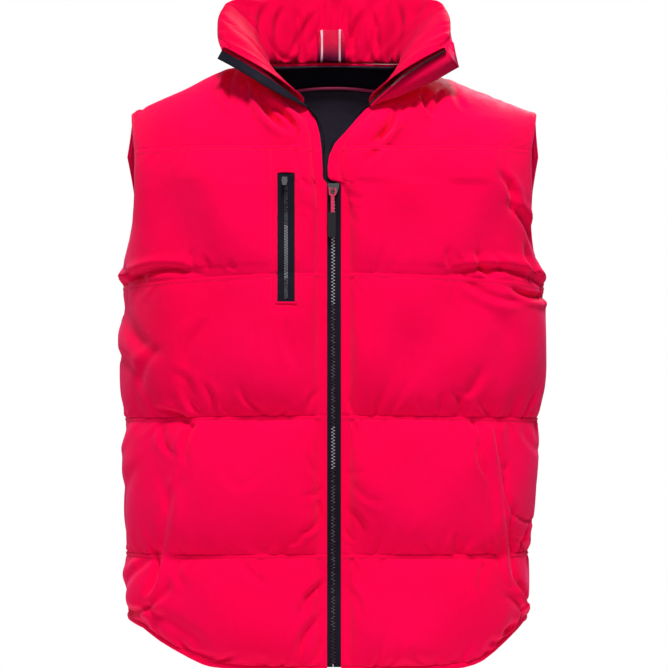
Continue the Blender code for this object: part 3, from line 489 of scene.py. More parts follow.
# %% Woven cloth
def fabric(name, colour, shade, roughness, thread, weave=0.3, crinkle=0.25, twill=False,
           painted_low_shade=None, **finish):
    """A woven cloth: two sets of threads, small crinkles and uneven dye.

    A painted low shade is a height, a lower height and the darker colour painted on the cloth from
    there down, for shade.
    """
    material, shader = new_material(name, roughness, **finish)
    tree = material.node_tree
    link = tree.links.new
    place = add_node(tree, "ShaderNodeTexCoord").outputs["Object"]
    dye = add_node(tree, "ShaderNodeTexNoise", Scale=7.0, Detail=4.0, Roughness=0.6)
    link(place, dye.inputs["Vector"])
    mixed = add_node(tree, "ShaderNodeMix", data_type="RGBA")
    mixed.inputs[6].default_value = (*shade, 1.0)
    mixed.inputs[7].default_value = (*colour, 1.0)
    span = add_node(tree, "ShaderNodeMapRange", From_Min=0.35, From_Max=0.62)
    link(dye.outputs["Fac"], span.inputs["Value"])
    link(span.outputs["Result"], mixed.inputs[0])
    dyed = mixed.outputs[2]
    # Painted shade: below the given heights the colour turns to a darker one, as shade would fall
    # there.
    if painted_low_shade:
        split = add_node(tree, "ShaderNodeSeparateXYZ")
        link(place, split.inputs["Vector"])
        fade = add_node(tree, "ShaderNodeMapRange", From_Min=painted_low_shade[0], From_Max=painted_low_shade[1])
        link(split.outputs["Z"], fade.inputs["Value"])
        deep = add_node(tree, "ShaderNodeMix", data_type="RGBA")
        deep.inputs[7].default_value = (*painted_low_shade[2], 1.0)
        link(fade.outputs["Result"], deep.inputs[0])
        link(dyed, deep.inputs[6])
        dyed = deep.outputs[2]
    link(dyed, shader.inputs["Base Color"])
    wear = add_node(tree, "ShaderNodeMapRange", From_Min=0.3, From_Max=0.7,
                    To_Min=roughness - 0.06, To_Max=roughness + 0.08)
    fine = add_node(tree, "ShaderNodeTexNoise", Scale=95.0, Detail=5.0, Roughness=0.55)
    link(place, fine.inputs["Vector"])
    link(fine.outputs["Fac"], wear.inputs["Value"])
    link(wear.outputs["Result"], shader.inputs["Roughness"])
    threads = []
    for direction in ("DIAGONAL",) if twill else ("X", "Z"):
        wave = add_node(tree, "ShaderNodeTexWave", bands_direction=direction,
                        Scale=math.tau / 20 / thread, Distortion=0.6, Detail=1.0)
        wave.inputs["Detail Scale"].default_value = 3.0
        link(place, wave.inputs["Vector"])
        threads.append(wave.outputs["Fac"])
    height = threads[0]
    if len(threads) > 1:
        both = add_node(tree, "ShaderNodeMath", operation="ADD")
        link(threads[0], both.inputs[0])
        link(threads[1], both.inputs[1])
        height = both.outputs["Value"]
    cloth = add_node(tree, "ShaderNodeBump", Strength=weave, Distance=0.00012)
    link(height, cloth.inputs["Height"])
    slack = add_node(tree, "ShaderNodeTexNoise", Scale=26.0, Detail=3.0, Roughness=0.5)
    link(place, slack.inputs["Vector"])
    loose = add_node(tree, "ShaderNodeBump", Strength=crinkle, Distance=0.0050)
    link(slack.outputs["Fac"], loose.inputs["Height"])
    link(cloth.outputs["Normal"], loose.inputs["Normal"])
    creased = add_node(tree, "ShaderNodeBump", Strength=crinkle, Distance=0.0014)
    link(fine.outputs["Fac"], creased.inputs["Height"])
    link(loose.outputs["Normal"], creased.inputs["Normal"])
    link(creased.outputs["Normal"], shader.inputs["Normal"])
    return material


print("cloth helper ready")

# %% The cloths of this garment
PINK = (1.0, 0.16, 0.46)
shell_nylon = fabric("shell_nylon", (0.93, 0.0012, 0.068), (0.88, 0.0010, 0.056), 0.46, 0.0005,
                     specular=0.008, sheen=0.30, sheen_tint=PINK, gloss_tint=PINK)
collar_nylon = fabric("collar_nylon", (0.86, 0.0012, 0.064), (0.78, 0.0010, 0.050), 0.50, 0.0005,
                      specular=0.008, sheen=0.30, sheen_tint=PINK, gloss_tint=PINK)
# The facing is the collar's red painted darker, for the shade that falls inside the collar.
facing_nylon_painted_shade = fabric("facing_nylon_painted_shade", (0.74, 0.0010, 0.050), (0.62, 0.0008, 0.038), 0.55, 0.0005,
                      specular=0.008, sheen=0.10, sheen_tint=PINK, gloss_tint=PINK)
lining_cloth = fabric("lining_cloth", (0.030, 0.019, 0.036), (0.020, 0.014, 0.027), 0.72, 0.0008,
                      weave=0.5, specular=0.2, sheen=0.05)
zip_tape_cloth = fabric("zip_tape_cloth", (0.010, 0.009, 0.018), (0.005, 0.005, 0.010), 0.80,
                        0.0010, weave=0.8, crinkle=0.1, twill=True, specular=0.1)
neck_tape_cloth = fabric("neck_tape_cloth", (0.008, 0.007, 0.013), (0.005, 0.004, 0.009), 0.85,
                         0.0012, weave=0.8, twill=True, specular=0.04)
piping_satin = fabric("piping_satin", (0.42, 0.016, 0.100), (0.30, 0.011, 0.070), 0.5, 0.0009,
                      weave=0.6, twill=True, specular=0.3)
# The ribbon is painted darker towards its lower end, for the shade it hangs in under the collar.
ribbon_red = fabric("ribbon_red", (0.62, 0.002, 0.046), (0.50, 0.002, 0.036), 0.6, 0.0009,
                    weave=0.7, specular=0.1, painted_low_shade=(0.050, 0.030, (0.10, 0.002, 0.030)))
ribbon_pale = fabric("ribbon_pale", (0.86, 0.50, 0.58), (0.74, 0.40, 0.48), 0.6, 0.0009,
                     weave=0.7, specular=0.2)
red_thread = fabric("red_thread", (0.74, 0.0015, 0.055), (0.60, 0.001, 0.04), 0.5, 0.0004,
                    weave=0.9, twill=True, specular=0.25)
print("fabrics", sorted(m.name for m in bpy.data.materials if m.users == 0))

# %% [markdown]
# ## Moulded and cast finishes
# Zip teeth are moulded plastic, a slider is painted metal, and the pull is a raspberry moulding
# with a rubber grip. Plastic shows fine flow marks and scuffs rather than threads.


# %% Plastic and paint
def moulded(name, colour, roughness, specular=0.5, coat=0.0):
    """Plastic or paint with faint scuffs and a fine orange-peel surface."""
    material, shader = new_material(name, roughness, specular, coat=coat)
    tree = material.node_tree
    link = tree.links.new
    place = add_node(tree, "ShaderNodeTexCoord").outputs["Object"]
    scuff = add_node(tree, "ShaderNodeTexNoise", Scale=420.0, Detail=6.0, Roughness=0.7)
    link(place, scuff.inputs["Vector"])
    worn = add_node(tree, "ShaderNodeMix", data_type="RGBA")
    worn.inputs[6].default_value = (*[c * 0.75 for c in colour], 1.0)
    worn.inputs[7].default_value = (*[min(1.0, c * 1.25 + 0.004) for c in colour], 1.0)
    link(scuff.outputs["Fac"], worn.inputs[0])
    link(worn.outputs[2], shader.inputs["Base Color"])
    wear = add_node(tree, "ShaderNodeMapRange", From_Min=0.3, From_Max=0.7,
                    To_Min=roughness - 0.08, To_Max=roughness + 0.12)
    link(scuff.outputs["Fac"], wear.inputs["Value"])
    link(wear.outputs["Result"], shader.inputs["Roughness"])
    bump = add_node(tree, "ShaderNodeBump", Strength=0.15, Distance=0.0002)
    link(scuff.outputs["Fac"], bump.inputs["Height"])
    link(bump.outputs["Normal"], shader.inputs["Normal"])
    return material


print("hard helper ready")

# %% The hard finishes of this garment
tooth_plastic = moulded("tooth_plastic", (0.016, 0.016, 0.022), 0.22, coat=0.6)
# The two greys for the caps of the teeth are painted highlights where the zip catches the lamps: a
# bright one and a dimmer one.
tooth_painted_glint = moulded("tooth_painted_glint", (0.34, 0.35, 0.39), 0.24, coat=0.6)
tooth_painted_dim_glint = moulded("tooth_painted_dim_glint", (0.070, 0.072, 0.088), 0.30, coat=0.5)
slider_paint = moulded("slider_paint", (0.010, 0.009, 0.014), 0.28, coat=0.5)
pull_plastic = moulded("pull_plastic", (0.58, 0.010, 0.075), 0.38)
tab_rubber = moulded("tab_rubber", (0.005, 0.0045, 0.008), 0.50, specular=0.3)
print("hard finishes", [m.name for m in (tooth_plastic, tooth_painted_glint, tooth_painted_dim_glint, slider_paint,
                                         pull_plastic, tab_rubber)])

# %% [markdown]
# ## How padding fills a band
# Between two seams the filling pushes the shell out. Gravity lets it settle, so a band is fullest
# low down, turns in sharply above its lower seam, and comes in gently below its upper one. At each
# seam the stitching is shorter than the cloth, so the cloth gathers into short creases that fan
# out and fade. Their spacing, lean, length and depth all vary, as in real sewing.

# %% Numbers of the padding
BANDS = (
    # out, inward, reach of the curve above the lower seam, reach below the upper seam, and how
    # much of the puff is left at the lower and at the upper seam, where the stitching is slack
    (0.0150, 0.0035, 0.058, 0.098, 0.00, 0.00),
    (0.0174, 0.0040, 0.086, 0.116, 0.00, 0.00),
    (0.0174, 0.0040, 0.082, 0.120, 0.00, 0.62),
    (0.0152, 0.0040, 0.060, 0.108, 0.68, 0.60),
    (0.0100, 0.0030, 0.050, 0.086, 0.86, 0.00),
)
SIDE_PUFF = 0.52             # share of the puff at the side seams, where the cloth is pulled in
LEFT_SHOULDER = 0.05         # share of the puff at the top of the left shoulder
LEFT_SUNK = 0.0018           # how far the cloth is pressed in at the top of that shoulder
SEAM_MEET = 0.0006           # the edges of two panels reach into their side seam
LOW_SLOPE = 1.0              # how gently the cloth leaves a seam upwards, and downwards
HIGH_SLOPE = 0.80
SIDE_RISE = (0.002, 0.070)   # where the puff starts and ends rising from a side edge
PLACKET_RISE = (0.011, 0.045)                # and from the edge at the zip
UNEVEN = 0.9                 # how strongly the filling's lumps change the puff
LUMP_HEIGHT = 0.8415         # of each wave that the lumps are summed from
LUMP_WAVES = 9
LOW_PUCKERS = (0.019, 0.038, 0.0036, 1.25)   # spacing, reach, depth and breadth above a seam
HIGH_PUCKERS = (0.026, 0.028, 0.0022, 1.1)   # and below the next one
LEDGE_PUFF = 0.0008          # height of the flat strip between a seam and its topstitch
SEAM_GROOVE = 0.0006         # how far the cloth sinks at a seam
GROOVE_REACH = 0.0016


print("bands", len(BANDS))


# %% Distances on a panel
def edge_distances(grid):
    """Distances along each row from the inner edge, and to the side or armhole edge."""
    steps = np.linalg.norm(np.diff(grid, axis=1), axis=2)
    total = np.concatenate([np.zeros((len(grid), 1)), np.cumsum(steps, axis=1)], axis=1)
    return total, total[:, -1:] - total


def band_distances(grid, bands):
    """Distances of each point up from its band's lower seam and down from the upper one."""
    steps = np.linalg.norm(np.diff(grid, axis=0), axis=2)
    height = np.concatenate([np.zeros((1, grid.shape[1])), np.cumsum(steps, axis=0)])
    low = np.empty_like(height)
    high = np.empty_like(height)
    for band in range(5):
        rows = np.nonzero(bands == band)[0]
        top = min(rows[-1] + 1, len(grid) - 1)
        low[rows] = height[rows] - height[rows[0]]
        high[rows] = height[top] - height[rows]
    return low, high


print("distance helpers ready")


# %% Puckers and lumps
def puckers(arc, away, seed, spacing, reach, depth, broad):
    """Short creases that start at a seam and fan out from it."""
    rng = random.Random(seed)
    field = np.zeros_like(arc)
    place = arc.min() + rng.uniform(0.2, 1.0) * spacing
    while place < arc.max():
        length = reach * rng.uniform(0.35, 1.0) ** 1.5
        lean = rng.uniform(-0.5, 0.5)
        wide = rng.uniform(0.0024, 0.0052) * broad
        deep = depth * rng.uniform(0.25, 1.0) ** 1.3
        side = rng.choice((-1, 1))
        t = (arc - place - lean * away) / (wide * (0.7 + 1.2 * away / length))
        fold = 0.55 * np.exp(-((t - 1.7 * side) / 1.1) ** 2) - np.exp(-t * t)
        field += deep * fold * np.exp(-(away / length) ** 2)
        place += spacing * (0.35 + 1.5 * rng.random() ** 1.4)
    return field


def lumps(arc, height, seed):
    """Broad unevenness of the filling, as a share of the puff."""
    rng = random.Random(seed)
    field = np.zeros_like(arc)
    for _ in range(LUMP_WAVES):
        a, b = rng.uniform(18, 62), rng.uniform(10, 46)
        field += LUMP_HEIGHT * np.sin(arc * a * rng.choice((-1, 1)) + height * b
                                      + rng.uniform(0, 6.3))
    return field / LUMP_WAVES


print("puckers about every", LOW_PUCKERS[0], "and", HIGH_PUCKERS[0])

# %% [markdown]
# ## Creases where the cloth is pulled
# The larger creases follow from wear: gathers below the collar, folds into each armpit, folds
# where the pocket and the zip hold the cloth, and pulls beside the seams. Each is a line with its
# own width and depth, in picture points for the fronts. A crease is a valley with a soft ridge
# beside it, on the side that its sign says.

# %% Creases of the fronts
CREASE_WIDTH = 0.92          # share of the width in a table that a valley gets
CREASE_DEPTH = 2.5           # times the depth in a table, as soft padding takes some away
CREASE_BOW = 0.10            # how far a crease bends, as a share of its length
FRONT_CREASES = (
    # across_1, down_1, across_2, down_2, width, depth in mm, ridge side
    (236, 80, 231, 108, 3.2, 1.8, 1),
    (247, 88, 249, 112, 3.0, 1.4, -1),
    (259, 95, 286, 131, 4.4, 4.2, 1),
    (269, 108, 297, 133, 3.4, 3.0, -1),
    (221, 110, 230, 122, 3.0, 0.8, 1),
    (283, 118, 298, 128, 2.4, 1.2, 1),
    (303, 128, 300, 176, 4.0, 1.0, 1),
    (302, 180, 315, 190, 3.0, 0.8, 1),
    (300, 205, 316, 214, 3.0, 0.5, -1),
    (129, 283, 192, 271, 4.6, 3.2, -1),
    (128, 268, 150, 280, 4.0, 1.8, 1),
    (194, 252, 197, 268, 2.6, 1.5, 1),
    (208, 258, 211, 269, 2.2, 0.9, -1),
    (232, 261, 236, 270, 2.4, 0.8, 1),
    (126, 302, 162, 352, 7.5, 2.0, 1),
    (121, 352, 144, 377, 5.0, 1.0, -1),
    (163, 352, 148, 386, 5.0, 1.4, 1),
    (206, 326, 193, 374, 6.0, 1.6, 1),
    (184, 372, 196, 396, 4.6, 1.6, -1),
    (189, 388, 199, 411, 3.4, 1.9, 1),
    (209, 386, 215, 410, 3.2, 1.7, -1),
    (222, 395, 226, 411, 2.4, 1.0, 1),
    (243, 389, 260, 409, 3.4, 1.4, 1),
    (290, 322, 295, 362, 4.0, 0.8, 1),
    (316, 392, 308, 410, 3.0, 0.8, 1),
    (166, 409, 193, 428, 3.2, 2.4, -1),
    (193, 426, 190, 459, 3.0, 2.0, 1),
    (166, 430, 172, 449, 3.0, 1.7, 1),
    (171, 448, 188, 458, 2.6, 1.0, 1),
    (171, 482, 161, 552, 6.0, 1.5, -1),
    (186, 482, 176, 512, 4.4, 1.3, 1),
    (126, 420, 121, 452, 3.4, 1.5, -1),
    (142, 470, 132, 540, 7.0, 1.2, 1),
    (230, 466, 244, 486, 5.4, 0.5, 1),
    (262, 468, 245, 486, 5.4, 0.5, -1),
    (308, 458, 318, 474, 3.0, 1.0, 1),
    (303, 496, 321, 490, 2.6, 1.8, 1),
    (303, 532, 318, 521, 3.2, 1.5, 1),
    (292, 544, 303, 532, 3.6, 1.0, 1),
    (316, 500, 320, 522, 2.6, 0.8, -1),
    (156, 550, 155, 590, 3.2, 3.6, -1),
    (131, 613, 173, 589, 4.0, 2.2, 1),
    (127, 606, 150, 560, 4.6, 1.6, -1),
    (146, 596, 165, 615, 4.0, 1.3, 1),
    (180, 560, 188, 586, 3.6, 1.1, 1),
    (217, 561, 223, 582, 3.2, 1.1, 1),
    (243, 561, 266, 583, 3.6, 1.3, 1),
    (256, 562, 259, 574, 2.4, 0.8, -1),
    (323, 583, 303, 608, 3.6, 2.0, 1),
    (312, 590, 300, 598, 3.0, 1.0, -1),
    (318, 618, 299, 650, 4.4, 2.2, 1),
    (321, 642, 312, 662, 3.4, 1.2, -1),
    (136, 612, 206, 646, 9.0, 1.5, -1),
    (180, 640, 214, 657, 4.0, 1.6, 1),
    (217, 661, 233, 655, 2.6, 2.0, 1),
    (440, 97, 435, 116, 3.0, 2.2, 1),
    (422, 100, 431, 117, 3.2, 3.4, 1),
    (412, 106, 420, 124, 2.8, 1.6, -1),
    (396, 110, 380, 140, 4.2, 3.8, -1),
    (381, 136, 370, 162, 4.4, 1.6, -1),
    (404, 108, 401, 126, 3.0, 2.4, 1),
    (455, 92, 462, 112, 4.0, 1.0, 1),
    (347, 193, 362, 200, 2.6, 0.9, 1),
    (346, 214, 356, 222, 2.6, 0.6, -1),
    (498, 178, 509, 208, 4.2, 2.6, -1),
    (508, 207, 530, 243, 4.4, 3.2, -1),
    (506, 184, 512, 196, 3.0, 1.2, 1),
    (444, 250, 446, 267, 2.8, 1.2, 1),
    (452, 256, 456, 268, 2.4, 0.8, -1),
    (473, 255, 486, 277, 3.8, 2.4, 1),
    (490, 258, 497, 276, 3.0, 1.4, -1),
    (520, 248, 536, 282, 4.2, 2.2, 1),
    (462, 271, 544, 289, 4.2, 3.0, -1),
    (508, 290, 545, 296, 3.6, 2.6, 1),
    (464, 281, 510, 301, 4.6, 1.4, 1),
    (470, 300, 500, 340, 9.0, 1.2, -1),
    (476, 370, 457, 396, 5.6, 1.5, -1),
    (452, 392, 459, 412, 3.2, 2.0, -1),
    (438, 394, 442, 411, 2.8, 1.4, 1),
    (419, 399, 424, 411, 2.4, 1.0, 1),
    (476, 398, 486, 412, 3.0, 1.1, 1),
    (350, 398, 352, 411, 2.4, 0.8, 1),
    (474, 443, 480, 474, 3.2, 2.0, 1),
    (493, 432, 500, 470, 2.0, 1.5, 1),
    (500, 467, 506, 514, 2.2, 1.8, 1),
    (505, 510, 511, 550, 2.4, 1.9, 1),
    (510, 547, 514, 588, 2.8, 2.0, 1),
    (472, 418, 475, 428, 2.4, 1.8, 1),
    (508, 513, 526, 521, 3.0, 1.5, 1),
    (512, 537, 524, 552, 3.4, 1.0, -1),
    (520, 430, 530, 450, 4.0, 1.0, 1),
    (500, 520, 497, 548, 3.4, 1.2, 1),
    (348, 474, 362, 472, 2.4, 0.9, 1),
    (353, 486, 380, 501, 3.2, 1.2, 1),
    (348, 509, 364, 528, 3.2, 1.3, -1),
    (346, 530, 353, 540, 2.6, 0.9, 1),
    (453, 535, 457, 553, 2.8, 1.7, 1),
    (422, 541, 430, 552, 2.6, 0.8, -1),
    (482, 564, 474, 588, 3.6, 1.2, 1),
    (514, 584, 526, 604, 3.2, 2.2, 1),
    (497, 594, 520, 617, 4.0, 1.8, -1),
    (498, 632, 510, 622, 3.4, 1.8, 1),
    (486, 640, 504, 640, 3.4, 1.4, 1),
    (350, 590, 360, 612, 3.6, 1.2, -1),
    (410, 648, 424, 664, 3.6, 1.0, 1),
    (380, 560, 383, 574, 2.6, 0.8, 1),
)
print("creases in front", len(FRONT_CREASES))

# %% Creases of the back
BACK_CREASES = (
    # the same seen from behind, with the wearer's right at the right
    (232, 75, 226, 104, 4.0, 1.8, 1),
    (262, 84, 256, 112, 3.6, 1.4, -1),
    (300, 84, 304, 108, 3.6, 1.2, 1),
    (372, 82, 366, 110, 3.8, 1.5, 1),
    (404, 82, 412, 112, 3.8, 1.9, -1),
    (438, 78, 448, 104, 3.6, 1.4, 1),
    (132, 268, 188, 262, 4.6, 2.8, 1),
    (150, 190, 136, 238, 4.6, 2.6, 1),
    (160, 214, 142, 254, 3.8, 1.6, -1),
    (470, 262, 538, 278, 4.4, 2.8, -1),
    (508, 180, 528, 236, 4.6, 2.6, -1),
    (492, 224, 516, 262, 3.8, 1.6, 1),
    (128, 300, 168, 346, 5.0, 2.4, 1),
    (540, 304, 500, 352, 5.0, 2.6, -1),
    (240, 250, 246, 270, 3.0, 1.4, 1),
    (318, 246, 312, 270, 3.2, 1.3, -1),
    (398, 248, 404, 270, 3.0, 1.5, 1),
    (204, 372, 214, 410, 3.8, 1.8, 1),
    (272, 380, 266, 411, 3.6, 1.4, -1),
    (344, 378, 350, 411, 3.8, 1.6, 1),
    (430, 372, 420, 410, 3.8, 1.9, -1),
    (488, 384, 496, 410, 3.4, 1.4, 1),
    (180, 470, 196, 540, 7.0, 1.8, 1),
    (300, 464, 330, 500, 6.0, 1.3, -1),
    (452, 470, 438, 536, 7.0, 1.7, 1),
    (236, 526, 242, 552, 3.4, 1.5, 1),
    (362, 524, 356, 552, 3.4, 1.4, -1),
    (486, 520, 494, 552, 3.6, 1.7, 1),
    (140, 600, 176, 582, 4.4, 2.0, 1),
    (520, 604, 488, 584, 4.4, 2.0, -1),
    (214, 566, 224, 604, 4.2, 1.4, 1),
    (300, 640, 318, 604, 4.4, 1.2, 1),
    (402, 566, 396, 600, 4.2, 1.4, -1),
    (446, 648, 430, 612, 4.2, 1.5, 1),
)


print("creases behind", len(BACK_CREASES))


# %% Depth of a table of creases
def creases(across, down, table):
    """Depth of the creases of a table at picture points, in metres."""
    field = np.zeros_like(across)
    for x1, y1, x2, y2, wide, depth, side in table:
        length = math.hypot(x2 - x1, y2 - y1)
        ux, uy = (x2 - x1) / length, (y2 - y1) / length
        reach = (across - x1) * ux + (down - y1) * uy
        middle = reach / length - 0.5
        bow = CREASE_BOW * length * (1 - 4 * middle ** 2) * side
        off = ((across - x1) * -uy + (down - y1) * ux - bow) / (wide * CREASE_WIDTH)
        fade = np.exp(-(np.abs(middle) * 1.75) ** 4)
        fold = 0.5 * np.exp(-((off - 1.8 * side) / 1.2) ** 2) - np.exp(-off * off)
        field += depth / 1000 * CREASE_DEPTH * fold * fade
    return field


print("crease helper ready")

# %% [markdown]
# ## The two fronts and the back
# Each is a closed padded shell: the outer face takes the puff, the puckers and the creases, and
# the inner face swells a little towards the lining. Its rim thins to a rounded edge, as a seam
# does. A shallow dip is left for the chest pocket's zip, and the cloth rises under its slider.

# %% Where the puff is held down
CHEST_WINDOW = (276.2, 172.6, 296.0, 303.0)  # picture left, top, right and bottom
CALM_REACH = 0.030           # how far the placket's line is averaged past the slider
SIDE_CALM = 0.12             # distance from the side at which the puff is whole
WINDOW_DIP = 0.0012          # how far the cloth sinks in the chest window
WINDOW_CALM = 0.10           # share of the puff that the window takes away round it
WINDOW_REACH = 9.0           # and how far round it, in picture points
SLIDER_RISE = 0.0024         # how far the cloth rises under the chest slider
SLIDER_DOWN = 182            # the slider's place and reach, in picture points
SLIDER_REACH = 18


def free_to_puff(grid, total, far, face):
    """Share of the puff that the side edge and the zip's edge leave."""
    free = ramp(far, *SIDE_RISE) * (SIDE_PUFF + (1 - SIDE_PUFF) * np.clip(far / SIDE_CALM, 0, 1))
    if face > 0:
        return free
    edge, heights = grid[:, 0, 0], grid[:, 0, 2]
    calm = np.array([edge[np.abs(heights - z) < CALM_REACH].mean() for z in heights])
    return free * ramp(total + (edge - calm)[:, None], *PLACKET_RISE) * ramp(total, 0.0, 0.018)


def press_window(push, across, down):
    """Sinks the cloth in the chest pocket's window and raises it under the slider."""
    left, upper, right, lower = CHEST_WINDOW
    inside = np.minimum.reduce([across - left, right - across, down - upper, lower - down])
    push = push - WINDOW_DIP * np.clip(inside / 2.0 + 0.5, 0, 1)
    near = np.exp(-(np.clip(-inside, 0, 99) / WINDOW_REACH) ** 2)
    raised = np.exp(-((down - SLIDER_DOWN) / SLIDER_REACH) ** 2)
    return push * (1 - WINDOW_CALM * near) + SLIDER_RISE * near * raised


print("chest window", CHEST_WINDOW)


# %% The faces of a padded panel
def padded_faces(grid, normals, bands, shares, face, seed, mirror):
    """Outer and inner faces of a padded panel, and the distances from its inner edge."""
    total, far = edge_distances(grid)
    low, high = band_distances(grid, bands)
    free = free_to_puff(grid, total, far, face)
    numbers = np.array(BANDS)[bands][:, :, None]
    top = high - np.where(bands < 4, LEDGE, 0.0)[:, None]
    slack = ramp(far, 0.045, 0.140)
    foot = numbers[:, 4] * np.where(bands[:, None] == 3, slack, 1.0)
    head = numbers[:, 5] * np.where(bands[:, None] == 2, slack, 1.0)
    fill = ((foot + (1 - foot) * swell(low, numbers[:, 2], LOW_SLOPE))
            * (head + (1 - head) * swell(top, numbers[:, 3], HIGH_SLOPE)))
    height = np.cumsum(np.concatenate([np.zeros((1, grid.shape[1])),
                                       np.linalg.norm(np.diff(grid, axis=0), axis=2)]), axis=0)
    out = numbers[:, 0] * fill * (1 + UNEVEN * lumps(total, height, seed))
    if not mirror:
        flatter = 1 - (1 - LEFT_SHOULDER) * shares
        out = np.where(bands == 4, out.T * flatter - LEFT_SUNK * shares ** 2, out.T).T
    bulge = (1.0 - (2.0 * shares - 1.0) ** 2)[:, None] ** 0.55
    inward = numbers[:, 1] * bulge * free
    near_low = np.where(low < 1e-9, 0.0, low)
    fold = puckers(total, near_low, seed + 1, *LOW_PUCKERS) * (1 - foot)
    fold += puckers(total, np.maximum(top, 0.0), seed + 2, *HIGH_PUCKERS) * (1 - head)
    ends = ramp(np.maximum(height[-1] - height, 0.0), 0.0, 0.010) * ramp(height, 0.0, 0.006)
    guard = ramp(low, 0.0, 0.004) * ramp(np.maximum(top, 0.0), 0.0, 0.006)
    rim = ramp(far, 0.0, 0.014) * ramp(total, 0.001, 0.012) if face < 0 else ramp(far, 0.0, 0.014)
    seen = grid.copy()
    if mirror:
        seen[..., 0] *= -1
    if face > 0:
        seen[..., :2] *= -1
    across, down = in_picture(seen)
    pulls = creases(across, down, FRONT_CREASES if face < 0 else BACK_CREASES)
    ledge = np.clip(1 - np.abs(high - LEDGE * 0.5) / (LEDGE * 0.5), 0, 1) ** 0.6 * (bands < 4)[:, None]
    push = out * free + (fold * guard + pulls * np.maximum(guard, 0.35) * ends) * rim
    push = push + LEDGE_PUFF * ledge * rim * (1 - head)
    push = push - SEAM_GROOVE * np.exp(-(low / GROOVE_REACH) ** 2) * (1 - 0.8 * foot)
    if face < 0 and mirror:
        push = press_window(push, across, down)
    round_edge = ramp(far, -0.0002, 0.0022)
    if face < 0:
        round_edge = np.minimum(round_edge, ramp(total, -0.0002, 0.0022))
    half = EDGE_THICK / 2 * (0.25 + 0.75 * round_edge)
    outer = grid + normals * (half + push)[..., None]
    inner = grid - normals * (half + inward)[..., None]
    meet = unit(grid[:, -1] - grid[:, -2]) * SEAM_MEET
    outer[:, -1] += meet
    inner[:, -1] += meet
    return outer, inner, total


print("face helper ready")


# %% Build the padded panels
def make_panel(face, side, edge, seed, mirror=False):
    """A padded panel. Side 1 is the wearer's right, which is mirrored, and 2 the left."""
    count = FRONT_COLUMNS if face < 0 else BACK_COLUMNS
    places = closer_at_ends(count, 0.75)
    if face > 0:
        places = np.sin(np.linspace(0, math.pi / 2, count)) * 0.55 + np.linspace(0, 1, count) * 0.45
    grid, bands, shares = panel_grid(face, side, edge, places)
    normals = panel_normals(grid, face)
    outer, inner, total = padded_faces(grid, normals, bands, shares, face, seed, mirror)
    made = {"grid": grid, "normals": normals, "outer": outer, "inner": inner}
    if mirror:
        made = {key: value * np.array([-1.0, 1.0, 1.0]) for key, value in made.items()}
    return {**made, "bands": bands, "shares": shares, "arc": total}


def whole_back(right, left):
    """The two halves of the back, joined along their middle column."""
    return {key: np.concatenate([right[key][:, :0:-1], left[key]], axis=1)
            for key in ("grid", "normals", "outer", "inner")}


front_right = make_panel(-1, 1, EDGE_RIGHT, 11, mirror=True)
front_left = make_panel(-1, 2, EDGE_LEFT, 23)
back_right = make_panel(1, 1, EDGE_LEFT, 31, mirror=True)
back_left = make_panel(1, 2, EDGE_LEFT, 47)
back = whole_back(back_right, back_left)
quilted = {}
for name, panel in (("front_right", front_right), ("front_left", front_left), ("back", back)):
    piece = add_shell("quilted_" + name, panel["outer"], panel["inner"], shell_nylon)
    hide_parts(name)
    quilted[name] = piece
    print(piece.name, len(piece.data.polygons), "faces")

# %% [markdown]
# ## The lining
# Behind the padding hangs a smooth dark navy lining. It is one layer of thin cloth, so it is a
# closed shell just over a millimetre thick. It stays close to the padding at the edges, where it
# is sewn, and hangs a little away between them, with a few shallow waves. The shell cloth turns
# in round each armhole, so there the lining's own mesh carries it as a second material.


# %% Faces of the lining
def thin(grid):
    """Every third row and column of a grid, as smooth cloth needs no more."""
    rows = sorted({*range(0, grid.shape[0], 3), grid.shape[0] - 1})
    cols = sorted({*range(0, grid.shape[1], 3), grid.shape[1] - 1})
    return grid[np.ix_(rows, cols)]


def lining_faces(grid, normals, face, seed):
    """The near and far faces of a lining."""
    total, far = edge_distances(grid)
    free = ramp(far, *SIDE_RISE)
    if face < 0:
        free = free * ramp(total, *PLACKET_RISE)
    heights = np.linspace(0.0, 1.0, len(grid))
    ends = (ramp(heights, 0.0, 0.12) * ramp(1.0 - heights, 0.0, 0.25))[:, None]
    wave = 0.0016 * lumps(total * 1.6, np.cumsum(np.ones_like(total), axis=0) * 0.008, seed)
    drop = EDGE_THICK / 2 + LINING_CLEAR + LINING_DROP * free * ends + wave * free * ends
    near = grid - normals * drop[..., None]
    return near, grid - normals * (drop + LINING_THICK)[..., None]


def make_lining(panel, face, seed):
    return lining_faces(thin(panel["grid"]), thin(panel["normals"]), face, seed)


lining_parts = {
    "front_right": make_lining(front_right, -1, 61),
    "front_left": make_lining(front_left, -1, 67),
}
halves = [make_lining(half, 1, 71) for half in (back_right, back_left)]
lining_parts["back"] = [np.concatenate([halves[0][i][:, :0:-1], halves[1][i]], axis=1)
                        for i in (0, 1)]
print("lining rows", [len(faces[0]) for faces in lining_parts.values()])

